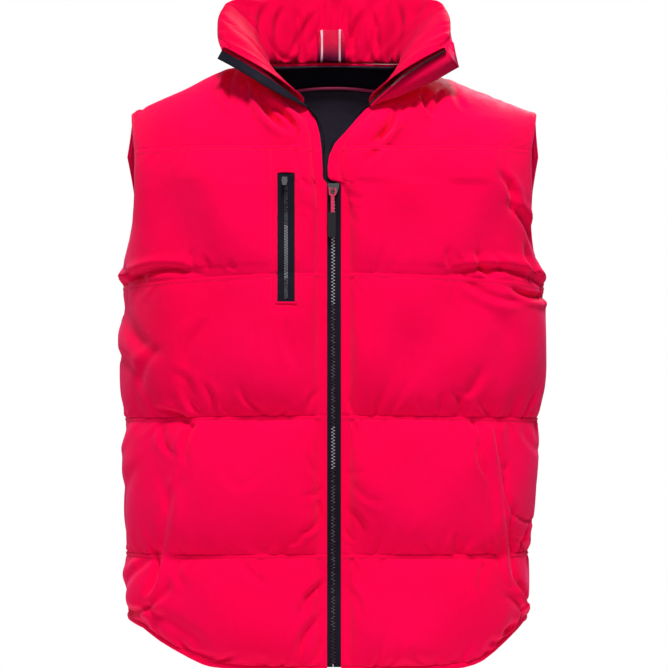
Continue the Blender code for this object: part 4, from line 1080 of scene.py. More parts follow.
# %% Build the lining
LINING_AREA = {}
TURNED_IN = 0.014            # width of the shell cloth turned in round each armhole
for name, (near, far) in lining_parts.items():
    piece = add_shell("lining_of_" + name, near, far, lining_cloth)
    steps = np.linalg.norm(np.diff(near, axis=1), axis=2)
    reach = np.concatenate([np.zeros((len(near), 1)), np.cumsum(steps, axis=1)], axis=1)
    from_end = reach[:, -1:] - reach
    reach = np.minimum(reach, from_end) if name == "back" else from_end
    turned = ((reach < TURNED_IN) & (near[:, -1:, 2] > UNDERARM)).ravel()
    piece.data.materials.append(shell_nylon)
    for polygon in piece.data.polygons:
        polygon.material_index = int(all(turned[i % turned.size] for i in polygon.vertices))
    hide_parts("lining_" + name)
    area = sum(p.area for p in piece.data.polygons) / 2
    LINING_AREA[name] = round(area, 3)
print("lining areas", LINING_AREA)

# %% [markdown]
# ## The hem strip
# A narrow rolled edge finishes the bottom of the shell. It is a small soft section swept along
# the hem, from one side of the zip, round the back, to the other. Its roll swells and thins a
# little on the way, as an edge does that was turned by hand.

# %% Build the hem strip
HEM_SECTION = (
    # outward, downward, in millimetres
    (0.6, -0.6), (1.9, -0.2), (2.2, 0.8), (2.5, 2.0), (2.5, 3.2), (2.0, 4.6), (0.9, 5.6),
    (-0.6, 6.0), (-2.4, 5.8), (-3.8, 5.0), (-4.6, 3.2), (-4.3, 1.4), (-3.0, 0.6),
)
hem_points = np.concatenate([front_right["grid"][0], back["grid"][0][1:-1],
                             front_left["grid"][0][::-1]])
hem_normals = np.concatenate([front_right["normals"][0], back["normals"][0][1:-1],
                              front_left["normals"][0][::-1]])
level = unit(hem_normals * np.array([1.0, 1.0, 0.0]))
hem_arc = np.concatenate([[0], np.cumsum(np.linalg.norm(np.diff(hem_points, axis=0), axis=1))])
roll = 1 + 0.10 * np.sin(hem_arc * 95) * np.sin(hem_arc * 31 + 1) + 0.05 * np.sin(hem_arc * 240)
section = np.array(HEM_SECTION) / 1000
below = np.array([0.0, 0.0, -1.0])
hem_rings = (hem_points[:, None] + level[:, None] * (section[None, :, 0:1] * roll[:, None, None])
             + below * section[None, :, 1:2])
hem_piece = add_tubes("hem_edge", hem_rings[None], shell_nylon)
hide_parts("hem_strip")
print("hem length", round(float(hem_arc[-1]), 3))

# %% [markdown]
# ## The collar
# The collar stands at the back and opens outward at the front, so its two ends lie on the fronts
# as soft leaves. Each column of it is a curve from the neck seam, over a bend, to the top edge.
# Its outside is padded, and its inside is a thin facing that gathers where it is folded.

# %% Tables of the collar
COLLAR = (
    # bend_x, bend_y, bend_z, top_x, top_y, top_z, thickness
    (0.0750, -0.1290, -0.0080, 0.1290, -0.0780, 0.0240, 0.0060),
    (0.0880, -0.1010, 0.0160, 0.1345, -0.0570, 0.0400, 0.0085),
    (0.0930, -0.0680, 0.0340, 0.1360, -0.0350, 0.0550, 0.0110),
    (0.0960, -0.0330, 0.0450, 0.1360, -0.0110, 0.0700, 0.0130),
    (0.0920, 0.0060, 0.0540, 0.1330, 0.0130, 0.0820, 0.0140),
    (0.0760, 0.0420, 0.0640, 0.1150, 0.0470, 0.0980, 0.0140),
    (0.0500, 0.0640, 0.0700, 0.0780, 0.0730, 0.1060, 0.0140),
    (0.0230, 0.0730, 0.0730, 0.0360, 0.0860, 0.1100, 0.0140),
    (0.0000, 0.0750, 0.0740, 0.0000, 0.0890, 0.1110, 0.0140),
)
COLLAR_BASE = (
    # the neck seam at the same places, right side then left, the middle of the back between
    (-0.0327, -0.0944, -0.0405),
    (-0.0621, -0.0741, -0.0181),
    (-0.0766, -0.0498, 0.0005),
    (-0.0813, -0.0250, 0.0132),
    (-0.0830, -0.0003, 0.0180),
    (-0.0620, 0.0442, 0.0207),
    (-0.0400, 0.0581, 0.0226),
    (-0.0180, 0.0647, 0.0237),
    (0.0000, 0.0663, 0.0240),
    (0.0180, 0.0647, 0.0237),
    (0.0400, 0.0581, 0.0226),
    (0.0620, 0.0442, 0.0207),
    (0.0830, -0.0003, 0.0180),
    (0.0814, -0.0249, 0.0132),
    (0.0770, -0.0498, 0.0004),
    (0.0638, -0.0739, -0.0185),
    (0.0395, -0.0939, -0.0415),
)
LEFT_END = (
    # share_up, x, y, z: how the end of the left leaf rolls out
    (0.00, 0.0010, 0.0000, -0.0030),
    (0.15, 0.0022, 0.0005, -0.0072),
    (0.34, 0.0050, 0.0020, -0.0145),
    (0.56, 0.0078, 0.0030, -0.0195),
    (0.78, 0.0115, 0.0030, -0.0215),
    (1.00, 0.0150, 0.0020, -0.0190),
)
LEFT_END_PAD = (0.012, 0.010, 0.012)         # thickness at the last three places on the left
COLLAR_ROWS = 60
COLLAR_COLUMNS = 260


print("places along the collar", len(COLLAR_BASE))


# %% Form of the collar
def neck_seam():
    """The seam line from the right front's end of the collar, round the back, to the left's."""
    parts = []
    for panel in (front_right, front_left):
        edge = panel["grid"][:, 0]
        parts.append(edge[edge[:, 2] >= COLLAR_BASE[0][2]])
    rim = back["grid"][-1]
    rim = rim[np.abs(rim[:, 0]) < NECK_HALF - 0.0001]
    return np.concatenate([parts[0], rim, parts[1][::-1]])


seam = neck_seam()
seam_arc = np.concatenate([[0], np.cumsum(np.linalg.norm(np.diff(seam, axis=0), axis=1))])
knots = [seam_arc[np.argmin(np.linalg.norm(seam - np.array(p), axis=1))] for p in COLLAR_BASE]
knots[0], knots[-1] = 0.0, seam_arc[-1]
table = np.array(COLLAR + COLLAR[-2::-1])
table[:8, [0, 3]] *= -1
table[-3:, 6] = LEFT_END_PAD
collar_arc = np.linspace(0.0, seam_arc[-1], COLLAR_COLUMNS)
start = np.stack([np.interp(collar_arc, seam_arc, seam[:, i]) for i in range(3)], axis=1)
cut = smooth_curve(collar_arc, knots, table)
place = np.interp(collar_arc, knots, np.arange(17))
behind = np.clip(np.minimum(place, 16 - place) / 8 - 0.5, 0.0, 1.0) * 2.0
rise = closer_at_ends(COLLAR_ROWS, 0.5)
first_share = 0.012 * (1 - 0.5 * behind)
share = first_share[None] + (1 - first_share[None]) * rise[:, None]
collar = ((1 - share)[..., None] ** 2 * start + 2 * (share * (1 - share))[..., None] * cut[:, :3]
          + share[..., None] ** 2 * cut[:, 3:6])
collar_out = grid_normals(collar, collar - np.array([0.0, -0.01, 0.10]))
print("collar seam length", round(float(seam_arc[-1]), 3))

# %% [markdown]
# The gathers are laid one by one too. The facing has upright folds behind the neck, uneven in width,
# and the padded outside has short puckers that start at the neck seam and others that come down
# from the top edge.

# %% Padding of the collar
FACING_CREASES = (
    # in picture points, as for the fronts
    (262, 12, 258, 44, 3.6, 1.8, 1),
    (279, 14, 276, 46, 3.4, 2.0, 1),
    (297, 16, 289, 54, 3.2, 2.2, -1),
    (310, 20, 300, 62, 3.4, 2.6, 1),
    (322, 6, 313, 42, 3.2, 1.8, -1),
    (348, 10, 353, 48, 3.4, 2.0, 1),
    (361, 20, 354, 60, 3.4, 2.4, 1),
    (374, 18, 367, 60, 3.6, 2.4, -1),
    (387, 10, 380, 54, 3.6, 2.2, 1),
    (402, 14, 393, 58, 3.8, 2.0, -1),
    (268, 46, 288, 62, 3.0, 1.8, 1),
)
FACING_STANDS = 0.0058       # how far the facing stands off the collar between its gathers
FACING_THICK = 0.0012
FACING_EDGE = 0.012          # over this height it comes back to both seams
up = np.concatenate([np.zeros((1, COLLAR_COLUMNS)),
                     np.cumsum(np.linalg.norm(np.diff(collar, axis=0), axis=2), axis=0)])
arc = np.broadcast_to(collar_arc, up.shape)
fullness = np.clip(np.sin(math.pi * rise), 0.0, 1.0) ** 0.6
pad = 0.0020 + fullness[:, None] * cut[None, :, 6]
pad = pad * (1 + 0.30 * lumps(arc, up, 83))
collar_guard = ramp(up, 0.0, 0.006) * ramp(up[-1] - up, 0.0, 0.006)
pad = pad + collar_guard * (puckers(arc, up, 84, 0.020, 0.036, 0.0040, 1.3)
                            + puckers(arc, up[-1] - up, 85, 0.026, 0.026, 0.0028, 1.3))
offset = collar_out * pad[..., None]
rolled = np.stack([np.interp(share[:, -1], *zip(*[(r[0], r[i]) for r in LEFT_END]))
                   for i in (1, 2, 3)], axis=1)
near_end = np.clip((place - 14.0) / 2.0, 0.0, 1.0) ** 2
offset = offset * (1 - near_end)[None, :, None] + rolled[:, None] * near_end[None, :, None]
collar_pad = collar + offset
print("collar height", round(float(up[-1].max()), 3))

# %% Gathers of the facing
gather = (puckers(arc, up * 0.6, 91, 0.015, 0.060, 0.0052, 1.5)
          + puckers(arc, (up[-1] - up) * 0.7, 92, 0.020, 0.045, 0.0040, 1.7)
          + 0.0022 * lumps(arc * 1.4, up * 1.6, 93)
          + creases(*in_picture(collar), FACING_CREASES))
calm = np.interp(np.minimum(place, 16 - place), (0.0, 3.0, 5.5), (0.35, 0.45, 1.0))
facing_push = np.maximum(0.0, FACING_STANDS + gather * calm) * ramp(up, 0.0, FACING_EDGE)
facing_push = facing_push * ramp(up[-1] - up, 0.0, FACING_EDGE)
facing_near = collar - collar_out * facing_push[..., None]
facing_far = facing_near - collar_out * FACING_THICK
collar_near = collar + collar_out * 0.0004
print("facing stands off up to", round(float(facing_push.max()), 4))

# %% Build the collar
piece = add_shell("padded_collar", collar_pad, collar_near, collar_nylon)
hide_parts("collar_outer")
piece = add_shell("collar_facing", facing_near, facing_far, facing_nylon_painted_shade)
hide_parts("collar_inner")

# %% [markdown]
# ## The zip tapes
# A zip tape is a strip of black twill, sewn under the edge of each front. Below the slider the two
# lie flat, side by side. Above it they turn inward where the edges meet, and outward where the
# collar falls open, so both leaves show their tape.

# %% Tables of the tapes
ZIP_HALF = 0.0078            # half the width of the two tapes together
ZIP_TOP = -0.131             # height at which the fronts part
CHAIN_MIDDLE = -0.0010       # the chain lies a little to the wearer's right
TAPE_UNDER = 0.0035          # how far a tape goes on under its front, and how deep
TAPE_DEPTH = 0.0032
TAPE_TURN = (
    # height, right, left
    (-0.1320, 0.0, 0.0),
    (-0.1270, -1.55, -1.55),
    (-0.1000, -1.50, -1.50),
    (-0.0800, -0.5, -0.6),
    (-0.0600, 0.9, 0.2),
    (-0.0500, 1.9, 0.9),
)
LEAF_TAPE = {
    # side: x, y, z, width
    "right": (-0.40, -0.42, -0.81, 0.0118),
    "left": (0.10, -0.95, 0.20, 0.0040),
}
print("tape width below the slider", ZIP_HALF)

# %% Build the tapes
tapes = {}
for name, sign, panel in (("right", 1.0, front_right), ("left", -1.0, front_left)):
    below = panel["grid"][:, 0, 2] < COLLAR_BASE[0][2]
    edge, out = panel["grid"][below, 0], panel["normals"][below, 0]
    ahead = unit(np.gradient(edge, axis=0))
    flat = unit(np.cross(ahead, out))
    flat = flat * np.sign(flat[:, 0:1] * sign)
    turn = lookup(TAPE_TURN, edge[:, 2], 1 if name == "right" else 2)[:, None]
    across = flat * np.cos(turn) + out * np.sin(turn)
    first = (edge - out * 0.0008 + flat * (0.0006 + 0.0006 * np.abs(np.sin(turn)))
             + out * 0.0045 * np.sin(np.clip(turn, 0.0, math.pi / 2)))
    closed = edge[:, 2:3] < ZIP_TOP + 0.0005
    reach = np.where(closed, ZIP_HALF - 0.0009 + sign * CHAIN_MIDDLE, 0.0040)
    column = 0 if name == "right" else -1
    leaf = collar[1:, column]
    away = unit(leaf - collar[1:, 1 if name == "right" else -2])
    leaf_first = leaf + away * (0.0010 if name == "right" else 0.0016)
    part = np.minimum(1.0, rise[1:] / 0.5)[:, None]
    lean = unit(away * (1 - part) + np.array(LEAF_TAPE[name][:3]) * part)
    rail = np.concatenate([first, leaf_first])
    far = np.concatenate([first + across * reach, leaf_first + lean * LEAF_TAPE[name][3]])
    for _ in range(3):       # ease the corner where the edge turns into the leaf
        mid = len(first)
        for line in (rail, far):
            line[mid - 6:mid + 6] = (line[mid - 7:mid + 5] + line[mid - 6:mid + 6] * 2
                                     + line[mid - 5:mid + 7]) / 4
    shares = np.linspace(0.0, 1.0, 6)[None, :, None]
    strip = rail[:, None] * (1 - shares) + far[:, None] * shares
    face_out = unit(np.cross(np.gradient(rail, axis=0), far - rail))
    tucked = np.concatenate([edge - flat * TAPE_UNDER - out * TAPE_DEPTH, leaf_first])
    strip = np.concatenate([tucked[:, None], strip], axis=1)
    tapes[name] = {"rail": rail, "far": far, "out": face_out, "below": int(below.sum())}
    shift = face_out[:, None] * 0.0005
    piece = add_shell("tape_" + name, strip + shift, strip - shift, zip_tape_cloth)
    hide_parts("zip_tape_" + name)
    area = sum(p.area for p in piece.data.polygons) / 2
    print(piece.name, "area", round(area, 4))

# %% [markdown]
# ## Zip teeth
# The teeth are moulded one by one onto the tape edges and mesh below the slider. Each is a small
# chamfered block. The same helper follows the closed chain, the open edge of the left leaf and
# the smaller chest zip.


# %% Teeth helper
def add_teeth(name, centres, along, across, out, size, material):
    """Chamfered blocks at the centres: size is along, across and out, in metres."""
    long, wide, thick = (s / 2 for s in size)
    corners = ((-1, -1), (1, -1), (1, 1), (-1, 1))
    rings = []
    for level, inset in ((-1.0, 1.0), (0.35, 1.0), (1.0, 0.62)):
        ring = [centres + along * (a * long * inset) + across * (b * wide * inset)
                + out * (thick * level) for a, b in corners]
        rings.append(np.stack(ring, axis=1))
    return add_tubes(name, np.stack(rings, axis=1), material)


print("teeth helper ready")


# %% Painted glints on the teeth
def paint_tooth_glints(piece, spans):
    """Paints highlights on the caps of the teeth within spans of height: bright on all of them, or
    dimmer on some.
    """
    piece.data.shade_flat()
    piece.data.materials.append(tooth_painted_glint)
    piece.data.materials.append(tooth_painted_dim_glint)
    rng = random.Random(7)
    faces = len(piece.data.polygons)
    teeth = len(piece.data.vertices) // 12
    for tooth in range(teeth):
        height = piece.data.vertices[tooth * 12].co.z
        chance = max([share for low, high, share in spans if low < height < high], default=0.0)
        if rng.random() < chance:
            piece.data.polygons[faces - teeth + tooth].material_index = 1 if chance > 0.7 else 2


FRONT_GLINTS = (
    # lower height, upper height, share of the teeth with a painted highlight: bright above 0.7, or
    # else dimmer
    (-0.268, -0.150, 1.0),
    (-0.400, -0.268, 0.70),
    (-0.456, -0.408, 1.0),
    (-0.640, -0.456, 0.60),
)
LEAF_GLINTS = (
    (-0.026, 0.002, 0.8),
    (-0.060, 0.030, 0.5),
)
CHEST_GLINTS = (
    (-0.240, -0.180, 1.0),
    (-0.265, -0.240, 0.6),
    (-0.180, -0.130, 0.6),
)
# These stretches hold the painted glints.
print("worn stretches", len(FRONT_GLINTS) + len(LEAF_GLINTS) + len(CHEST_GLINTS))

# %% Front chain
FRONT_TOOTH = (0.0018, 0.0034, 0.0020)       # along, across and out, in metres
LEAF_TOOTH = (0.0012, 0.0026, 0.0018)
CHEST_TOOTH = (0.0011, 0.0024, 0.0012)
TOOTH_STEP = 0.0037          # between two teeth of one side of the front zip
CHEST_STEP = 0.0009          # between neighbours on the closed chest chain
low_z = float(front_right["grid"][0, 0, 2]) + 0.004
heights = np.arange(low_z, ZIP_TOP - 0.013, TOOTH_STEP / 2)
edge = front_right["grid"][:, 0]
depths = np.interp(heights, edge[:, 2], edge[:, 1])
side = np.where(np.arange(len(heights)) % 2, 1.0, -1.0)
centres = np.stack([CHAIN_MIDDLE + side * 0.0010, depths - 0.0002, heights], axis=1)
ones = np.ones((len(heights), 1))
piece = add_teeth("front_teeth", centres, ones * [0, 0, 1], ones * [1, 0, 0], ones * [0, -1, 0],
                  FRONT_TOOTH, tooth_plastic)
paint_tooth_glints(piece, FRONT_GLINTS)
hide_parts("zip_chain")
print("front teeth", len(heights))

# %% Teeth on the left leaf
row = tapes["left"]["far"][tapes["left"]["below"] + 3:-2]
leaf_out = tapes["left"]["out"][tapes["left"]["below"] + 3:-2]
total = np.concatenate([[0], np.cumsum(np.linalg.norm(np.diff(row, axis=0), axis=1))])
at = np.arange(0.002, total[-1], TOOTH_STEP * 0.62)
place = np.stack([np.interp(at, total, row[:, i]) for i in range(3)], axis=1)
way = unit(np.stack([np.interp(at, total, leaf_out[:, i]) for i in range(3)], axis=1))
way = way * np.sign(-way[:, 1:2])
ahead = unit(np.gradient(place, axis=0))
piece = add_teeth("leaf_teeth", place + way * 0.0006, ahead, unit(np.cross(ahead, way)), way,
                  LEAF_TOOTH, tooth_plastic)
paint_tooth_glints(piece, LEAF_GLINTS)
print("leaf teeth", len(place))

# %% [markdown]
# ## Slider and pull
# These small parts are already right in the imported model, so they stay. A small bevel rounds
# their edges, as casting does, and they get their own paint, plastic and rubber. The pull hangs
# from the slider's bridge.

# %% Finish the carried-over parts
for name, material in (("zip_slider", slider_paint), ("chest_zip_slider", slider_paint),
                       ("zip_puller", pull_plastic), ("pull_tab", tab_rubber)):
    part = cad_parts[name]
    part.data.materials.clear()
    part.data.materials.append(material)
    bevel = part.modifiers.new("cast edge", "BEVEL")
    bevel.width = 0.0004
    bevel.segments = 3
    bevel.limit_method = "ANGLE"
    print(name, "finished")

# %% [markdown]
# ## Laying details on the cloth
# A pocket or a line of stitches follows every dip of the cloth under it. A sight line from the
# camera through a picture point meets the front there, and gives the place and the way the cloth
# faces. A path of such places carries the stitches, the lips and the welts.

# %% Sight lines onto the fronts
trees = {}
for name, panel in (("front_right", front_right), ("front_left", front_left)):
    rows, cols = panel["outer"].shape[:2]
    quads = shell_faces(rows, cols)[:(rows - 1) * (cols - 1)]
    trees[name] = BVHTree.FromPolygons(panel["outer"].reshape(-1, 3).tolist(), quads.tolist())


def lay(name, across, down):
    """Places and outward normals on a front, for arrays of picture points."""
    places, ways = [], []
    for x, y in zip(np.ravel(across), np.ravel(down)):
        ray = sight_line(float(x), float(y))
        place, way, _, _ = trees[name].ray_cast(Vector(EYE), ray)
        if place is None:
            place, way, _, _ = trees[name].find_nearest(Vector(EYE) + ray * 2.9)
        if way.dot(ray) > 0:
            way = -way
        places.append(place)
        ways.append(way)
    shape = np.shape(across) + (3,)
    return np.array(places).reshape(shape), np.array(ways).reshape(shape)


print("sight lines ready", len(trees))


# %% Paths
def picture_path(corners, step=2.0):
    """Evenly spaced picture points along a line of corners."""
    corners = np.array(corners, float)
    total = np.concatenate([[0], np.cumsum(np.linalg.norm(np.diff(corners, axis=0), axis=1))])
    at = np.linspace(0, total[-1], max(2, int(total[-1] / step)))
    return np.interp(at, total, corners[:, 0]), np.interp(at, total, corners[:, 1])


def even(points, normals, step):
    """A path and its normals, resampled at even steps."""
    total = np.concatenate([[0], np.cumsum(np.linalg.norm(np.diff(points, axis=0), axis=1))])
    at = np.arange(step / 2, total[-1], step)
    place = np.stack([np.interp(at, total, points[:, i]) for i in range(3)], axis=1)
    way = unit(np.stack([np.interp(at, total, normals[:, i]) for i in range(3)], axis=1))
    ahead = unit(np.gradient(place, axis=0)) if len(place) > 1 else np.zeros_like(place)
    return place, way, ahead


print("path helpers ready")

# %% [markdown]
# ## The chest pocket
# The chest zip shows through a long window. Its two lips are folded cloth, so a thin rolled
# binding runs round the window. Inside lies black tape with a fine chain and a small slider.

# %% Chest tape and teeth
left, upper, right, lower = CHEST_WINDOW
v, u = np.meshgrid(np.linspace(0, 1, 70), np.linspace(0, 1, 9), indexing="ij")
window_x = left + 0.3 + (right - left - 0.6) * u
window_y = lower - 0.4 - (lower - upper - 0.8 + 1.6 * np.sin(math.pi * u) - 1.2) * v
place, way = lay("front_right", window_x, window_y)
way = unit(np.broadcast_to(way.mean(axis=1, keepdims=True), way.shape))
hollow = 0.0004 * np.sin(math.pi * u)[..., None]
tape_top = place + way * (0.0008 - hollow)
piece = add_shell("chest_tape", tape_top, place + way * (0.0001 - hollow), zip_tape_cloth)
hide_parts("chest_zip_tape")
rows = np.linspace(2.0, 63.0, 120)
place, way, ahead = even(on_grid(tape_top, rows, 4.0), on_grid(way, rows, 4.0), CHEST_STEP)
across = unit(np.cross(ahead, way))
side = np.where(np.arange(len(place)) % 2, 1.0, -1.0)[:, None]
piece = add_teeth("chest_teeth", place + way * 0.0003 + across * side * 0.0011, ahead, across,
                  way, CHEST_TOOTH, tooth_plastic)
paint_tooth_glints(piece, CHEST_GLINTS)
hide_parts("chest_zip_chain")
print("chest teeth", len(side))

# %% Lips of the chest pocket
corners = [(left, lower), (left, upper + 1.2), (left + 1.6, upper - 0.6), (286, upper - 1.2),
           (right - 1.6, upper - 0.6), (right, upper + 1.2), (right, lower), (left, lower)]
x, y = picture_path(corners, 1.6)
place, way = lay("front_right", x[:-1], y[:-1])
ahead = unit(np.roll(place, -1, axis=0) - np.roll(place, 1, axis=0))
across = unit(np.cross(ahead, way))
angle = np.linspace(0, math.tau, 10, endpoint=False)[None, :, None]
lip = (place[:, None] + way[:, None] * (0.0010 + 0.0009 * np.sin(angle))
       + across[:, None] * (0.0013 * np.cos(angle)))
piece = add_tubes("chest_pocket_lips", lip[None], shell_nylon, closed=True)
print("chest pocket on", len(place), "places")

# %% [markdown]
# ## The hand pockets
# Each hand pocket has a slanted welt, a folded strip as wide as a finger. It is sewn down along
# its inner edge and both ends, and its outer edge is the mouth. It is a thin shell with rounded
# sides that lies on the front.

# %% Build the welts
WELTS = {
    # panel: inner edge then mouth edge, in picture points from the top
    "front_right": (((190, 424), (188, 456), (181, 510), (174, 556), (170, 588)),
                    ((174, 424), (171, 456), (166, 510), (161, 556), (159, 588))),
    "front_left": (((478, 421), (483, 456), (490, 510), (497, 560), (502, 588)),
                   ((493, 424), (499, 456), (505, 510), (510, 552), (514, 588))),
}
WELT_PUFF = {"front_right": 0.0018, "front_left": 0.0038}
WELT_SUNK = 0.0009           # the sewn rim lies under the face of the panel
WELT_DEEPER = {"front_right": 0.0014, "front_left": 0.0}     # more of that near the top
for name, (sewn, mouth) in WELTS.items():
    v = np.linspace(0, 1, 64)
    steps = np.linspace(0, 1, 5)
    sewn, mouth = np.array(sewn, float), np.array(mouth, float)
    edges = [np.stack([smooth_curve(v, steps, line[:, i])[:, 0] for i in (0, 1)], axis=1)
             for line in (sewn, mouth)]
    u = closer_at_ends(12, 0.6)
    flat = edges[0][:, None] * (1 - u)[None, :, None] + edges[1][:, None] * u[None, :, None]
    place, way = lay(name, flat[..., 0], flat[..., 1])
    for _ in range(4):       # the strip spans small dips of the cloth
        place[1:-1] = (place[:-2] + place[1:-1] * 2 + place[2:]) / 4
        way[1:-1] = unit(way[:-2] + way[1:-1] * 2 + way[2:])
    ends = np.minimum(ramp(v, 0.0, 0.10), ramp(1 - v, 0.0, 0.16))[:, None]
    fold = np.sin(math.pi * np.clip(u, 0, 1) ** 1.6)[None] ** 0.8
    sunk = WELT_SUNK + WELT_DEEPER[name] * (1 - ramp(v, 0.15, 0.75))[:, None]
    puff = (WELT_PUFF[name] * fold * ends - sunk)[..., None]
    piece = add_shell("welt_" + name, place + way * puff, place - way * 0.0024, shell_nylon)
    side = name.split("_")[1]
    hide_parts("hand_pocket_welt_" + side)
    print(piece.name)

# %% [markdown]
# ## Inside the neck
# A black tape covers the neck seam inside, a raspberry piping edges it, and a ribbon loop for
# hanging is sewn into the collar above. The lining below it is left bare.

# %% Build the neck band
BAND_TALL = 0.0262           # height of the band in the middle
BAND_CURVE = 0.0070          # how much taller it is at its ends
lining_in = lining_parts["back"][1]
lining_way = -grid_normals(lining_in, lining_in - np.array([0.0, -0.01, -0.10]))
middle = lining_in.shape[1] // 2
spine = np.concatenate([[0], np.cumsum(np.linalg.norm(np.diff(lining_in[::-1, middle], axis=0),
                                                      axis=1))])
side = np.abs(np.linspace(-1, 1, 70))
band_row = len(lining_in) - 1 - np.interp(BAND_TALL + BAND_CURVE * side ** 2, spine,
                                          np.arange(len(spine)))
top_x = lining_in[-1, :, 0]
cols = np.interp(np.linspace(-NECK_HALF + 0.002, NECK_HALF - 0.002, 70), top_x,
                 np.arange(len(top_x)))
rr = np.linspace(band_row, np.full(len(cols), len(lining_in) - 1.001), 16)
cc = np.broadcast_to(cols, rr.shape)
place, way = on_grid(lining_in, rr, cc), unit(on_grid(lining_way, rr, cc))
rise_on = unit(place[-1:] - place[-2:-1]) * 0.0036 + way[-1:] * 0.0034
place = np.concatenate([place, place[-1:] + rise_on])
way = np.concatenate([way, way[-1:]])
lift = (0.0008 + 0.0022 * side ** 3)[None, :, None]
piece = add_shell("neck_tape", place + way * (lift + 0.0010), place + way * lift, neck_tape_cloth)
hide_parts("neck_band")
print("neck band", round(float(len(lining_in) - 1 - band_row.min()), 1), "rows tall")

# %% Build the piping
place, way = on_grid(lining_in, band_row, cols), unit(on_grid(lining_way, band_row, cols))
ahead = unit(np.gradient(place, axis=0))
down = unit(np.cross(ahead, way))
down = down * -np.sign(down[:, 2:3])
lift = (0.0012 + 0.0024 * side ** 3)[:, None]
centre = place + way * (0.0016 + lift) + down * 0.0018
angle = np.linspace(0, math.tau, 12, endpoint=False)[None, :, None]
ring = centre[:, None] + (way[:, None] * np.cos(angle) + down[:, None] * np.sin(angle)) * 0.0020
piece = add_tubes("neck_cord", ring[None], piping_satin)
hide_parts("neck_piping")
print("piping through", len(centre), "places")

# %% [markdown]
# The loop is a flat red ribbon with two pale woven stripes. The stripes are part of the weave, so
# the same mesh carries them as a second material on its own columns.

# %% Build the hanger loop
centre_col = float(np.interp(0.0, collar[0, :, 0], np.arange(COLLAR_COLUMNS)))
heights = collar[:, int(round(centre_col)), 2]
loop_rows = np.interp(np.linspace(0.0240, 0.0628, 26), heights, np.arange(COLLAR_ROWS))
loop_x = np.array([-0.0215, -0.0180, -0.0172, -0.0146, -0.0138, -0.006, 0.002, 0.0053, 0.0061,
                   0.0087, 0.0095, 0.0145])
rr = np.broadcast_to(loop_rows[:, None], (26, len(loop_x)))
inside = np.arange(COLLAR_COLUMNS // 3, 2 * COLLAR_COLUMNS // 3)
cc = np.array([np.interp(loop_x, on_grid(collar, row, inside)[:, 0], inside)
               for row in loop_rows])
place, way = on_grid(facing_far, rr, cc), -unit(on_grid(collar_out, rr, cc))
v = np.linspace(0, 1, 26)[:, None, None]
lift = 0.0012 + 0.0020 * np.sin(math.pi * v)
# Its red turns darker towards the bottom: painted shade.
piece = add_shell("hanging_loop", place + way * (lift + 0.0009), place + way * lift, ribbon_red)
piece.data.materials.append(ribbon_pale)
columns = len(loop_x) - 1
for polygon in piece.data.polygons:
    if polygon.index < 2 * 25 * columns and polygon.index % columns in (2, 8):
        polygon.material_index = 1
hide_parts("hanger_loop")
print("loop done")

# %% [markdown]
# ## Stitching
# Thread is what holds the bands, so each visible line of stitches is made of separate short
# stitches that sink into the cloth at both ends: below every seam, along the placket, round the
# armholes, the hem and the pockets.


# %% Stitch helper
STITCH_STEP = 0.0032
STITCH_LENGTH = 0.0024
THREAD_RADIUS = 0.00036
STITCH_RINGS = (
    # share of the length from the middle, share of the radius, height in metres
    (-0.5, 0.35, -0.00030),
    (-0.2, 1.0, 0.00012),
    (0.2, 1.0, 0.00012),
    (0.5, 0.35, -0.00030),
)


def stitches(points, normals):
    """Rings of the stitches along a path: a short bead with thin, sunken ends for each."""
    place, way, ahead = even(points, normals, STITCH_STEP)
    across = unit(np.cross(ahead, way))
    angle = np.linspace(0, math.tau, 5, endpoint=False)
    rings = []
    for at, size, sink in STITCH_RINGS:
        middle = place + ahead * (STITCH_LENGTH * at) + way * sink
        rings.append(np.stack([middle + (across * math.cos(a) + way * math.sin(a))
                               * THREAD_RADIUS * size for a in angle], axis=1))
    return np.stack(rings, axis=1)


print("stitch length", STITCH_LENGTH)

# %% Stitches along the seams and edges
PLACKET_LINE = 0.0118        # distance of the placket's stitches from the edge at the zip
PLACKET_TOP = -0.045         # height at which they end below the collar
ARMHOLE_LINE = 0.0062        # distance of the armhole's stitches from its edge
sewn = {}
for name, panel in (("front_right", front_right), ("front_left", front_left), ("back", back)):
    source = panel if "bands" in panel else back_left
    outer = panel["outer"]
    normals = grid_normals(outer, panel["normals"])
    lines = []
    for band in range(4):
        rows = np.nonzero(source["bands"] == band)[0]
        row = rows[-3]       # the row on the topstitch
        lines.append(stitches(outer[row, 2:-2], normals[row, 2:-2]))
    lines.append(stitches(outer[3, 1:-1], normals[3, 1:-1]))
    if name != "back":
        arcs = source["arc"]
        cols = np.array([np.interp(PLACKET_LINE, arcs[r], np.arange(arcs.shape[1]))
                         for r in range(len(arcs))])
        keep = panel["grid"][:, 0, 2] < PLACKET_TOP
        rows = np.arange(len(arcs))[keep]
        lines.append(stitches(on_grid(outer, rows, cols[keep]),
                              unit(on_grid(normals, rows, cols[keep]))))
    total, far = edge_distances(panel["grid"])
    sides = ((far, -1),) if name != "back" else ((far, -1), (total, 1))
    for distance, turn in sides:
        rows = np.nonzero(panel["grid"][:, -1, 2] > UNDERARM + 0.004)[0]
        cols = [np.interp(ARMHOLE_LINE, distance[r][::turn],
                          np.arange(distance.shape[1])[::turn]) for r in rows]
        lines.append(stitches(on_grid(outer, rows, cols), unit(on_grid(normals, rows, cols))))
    sewn[name] = lines
print("stitched lines", sum(len(lines) for lines in sewn.values()))

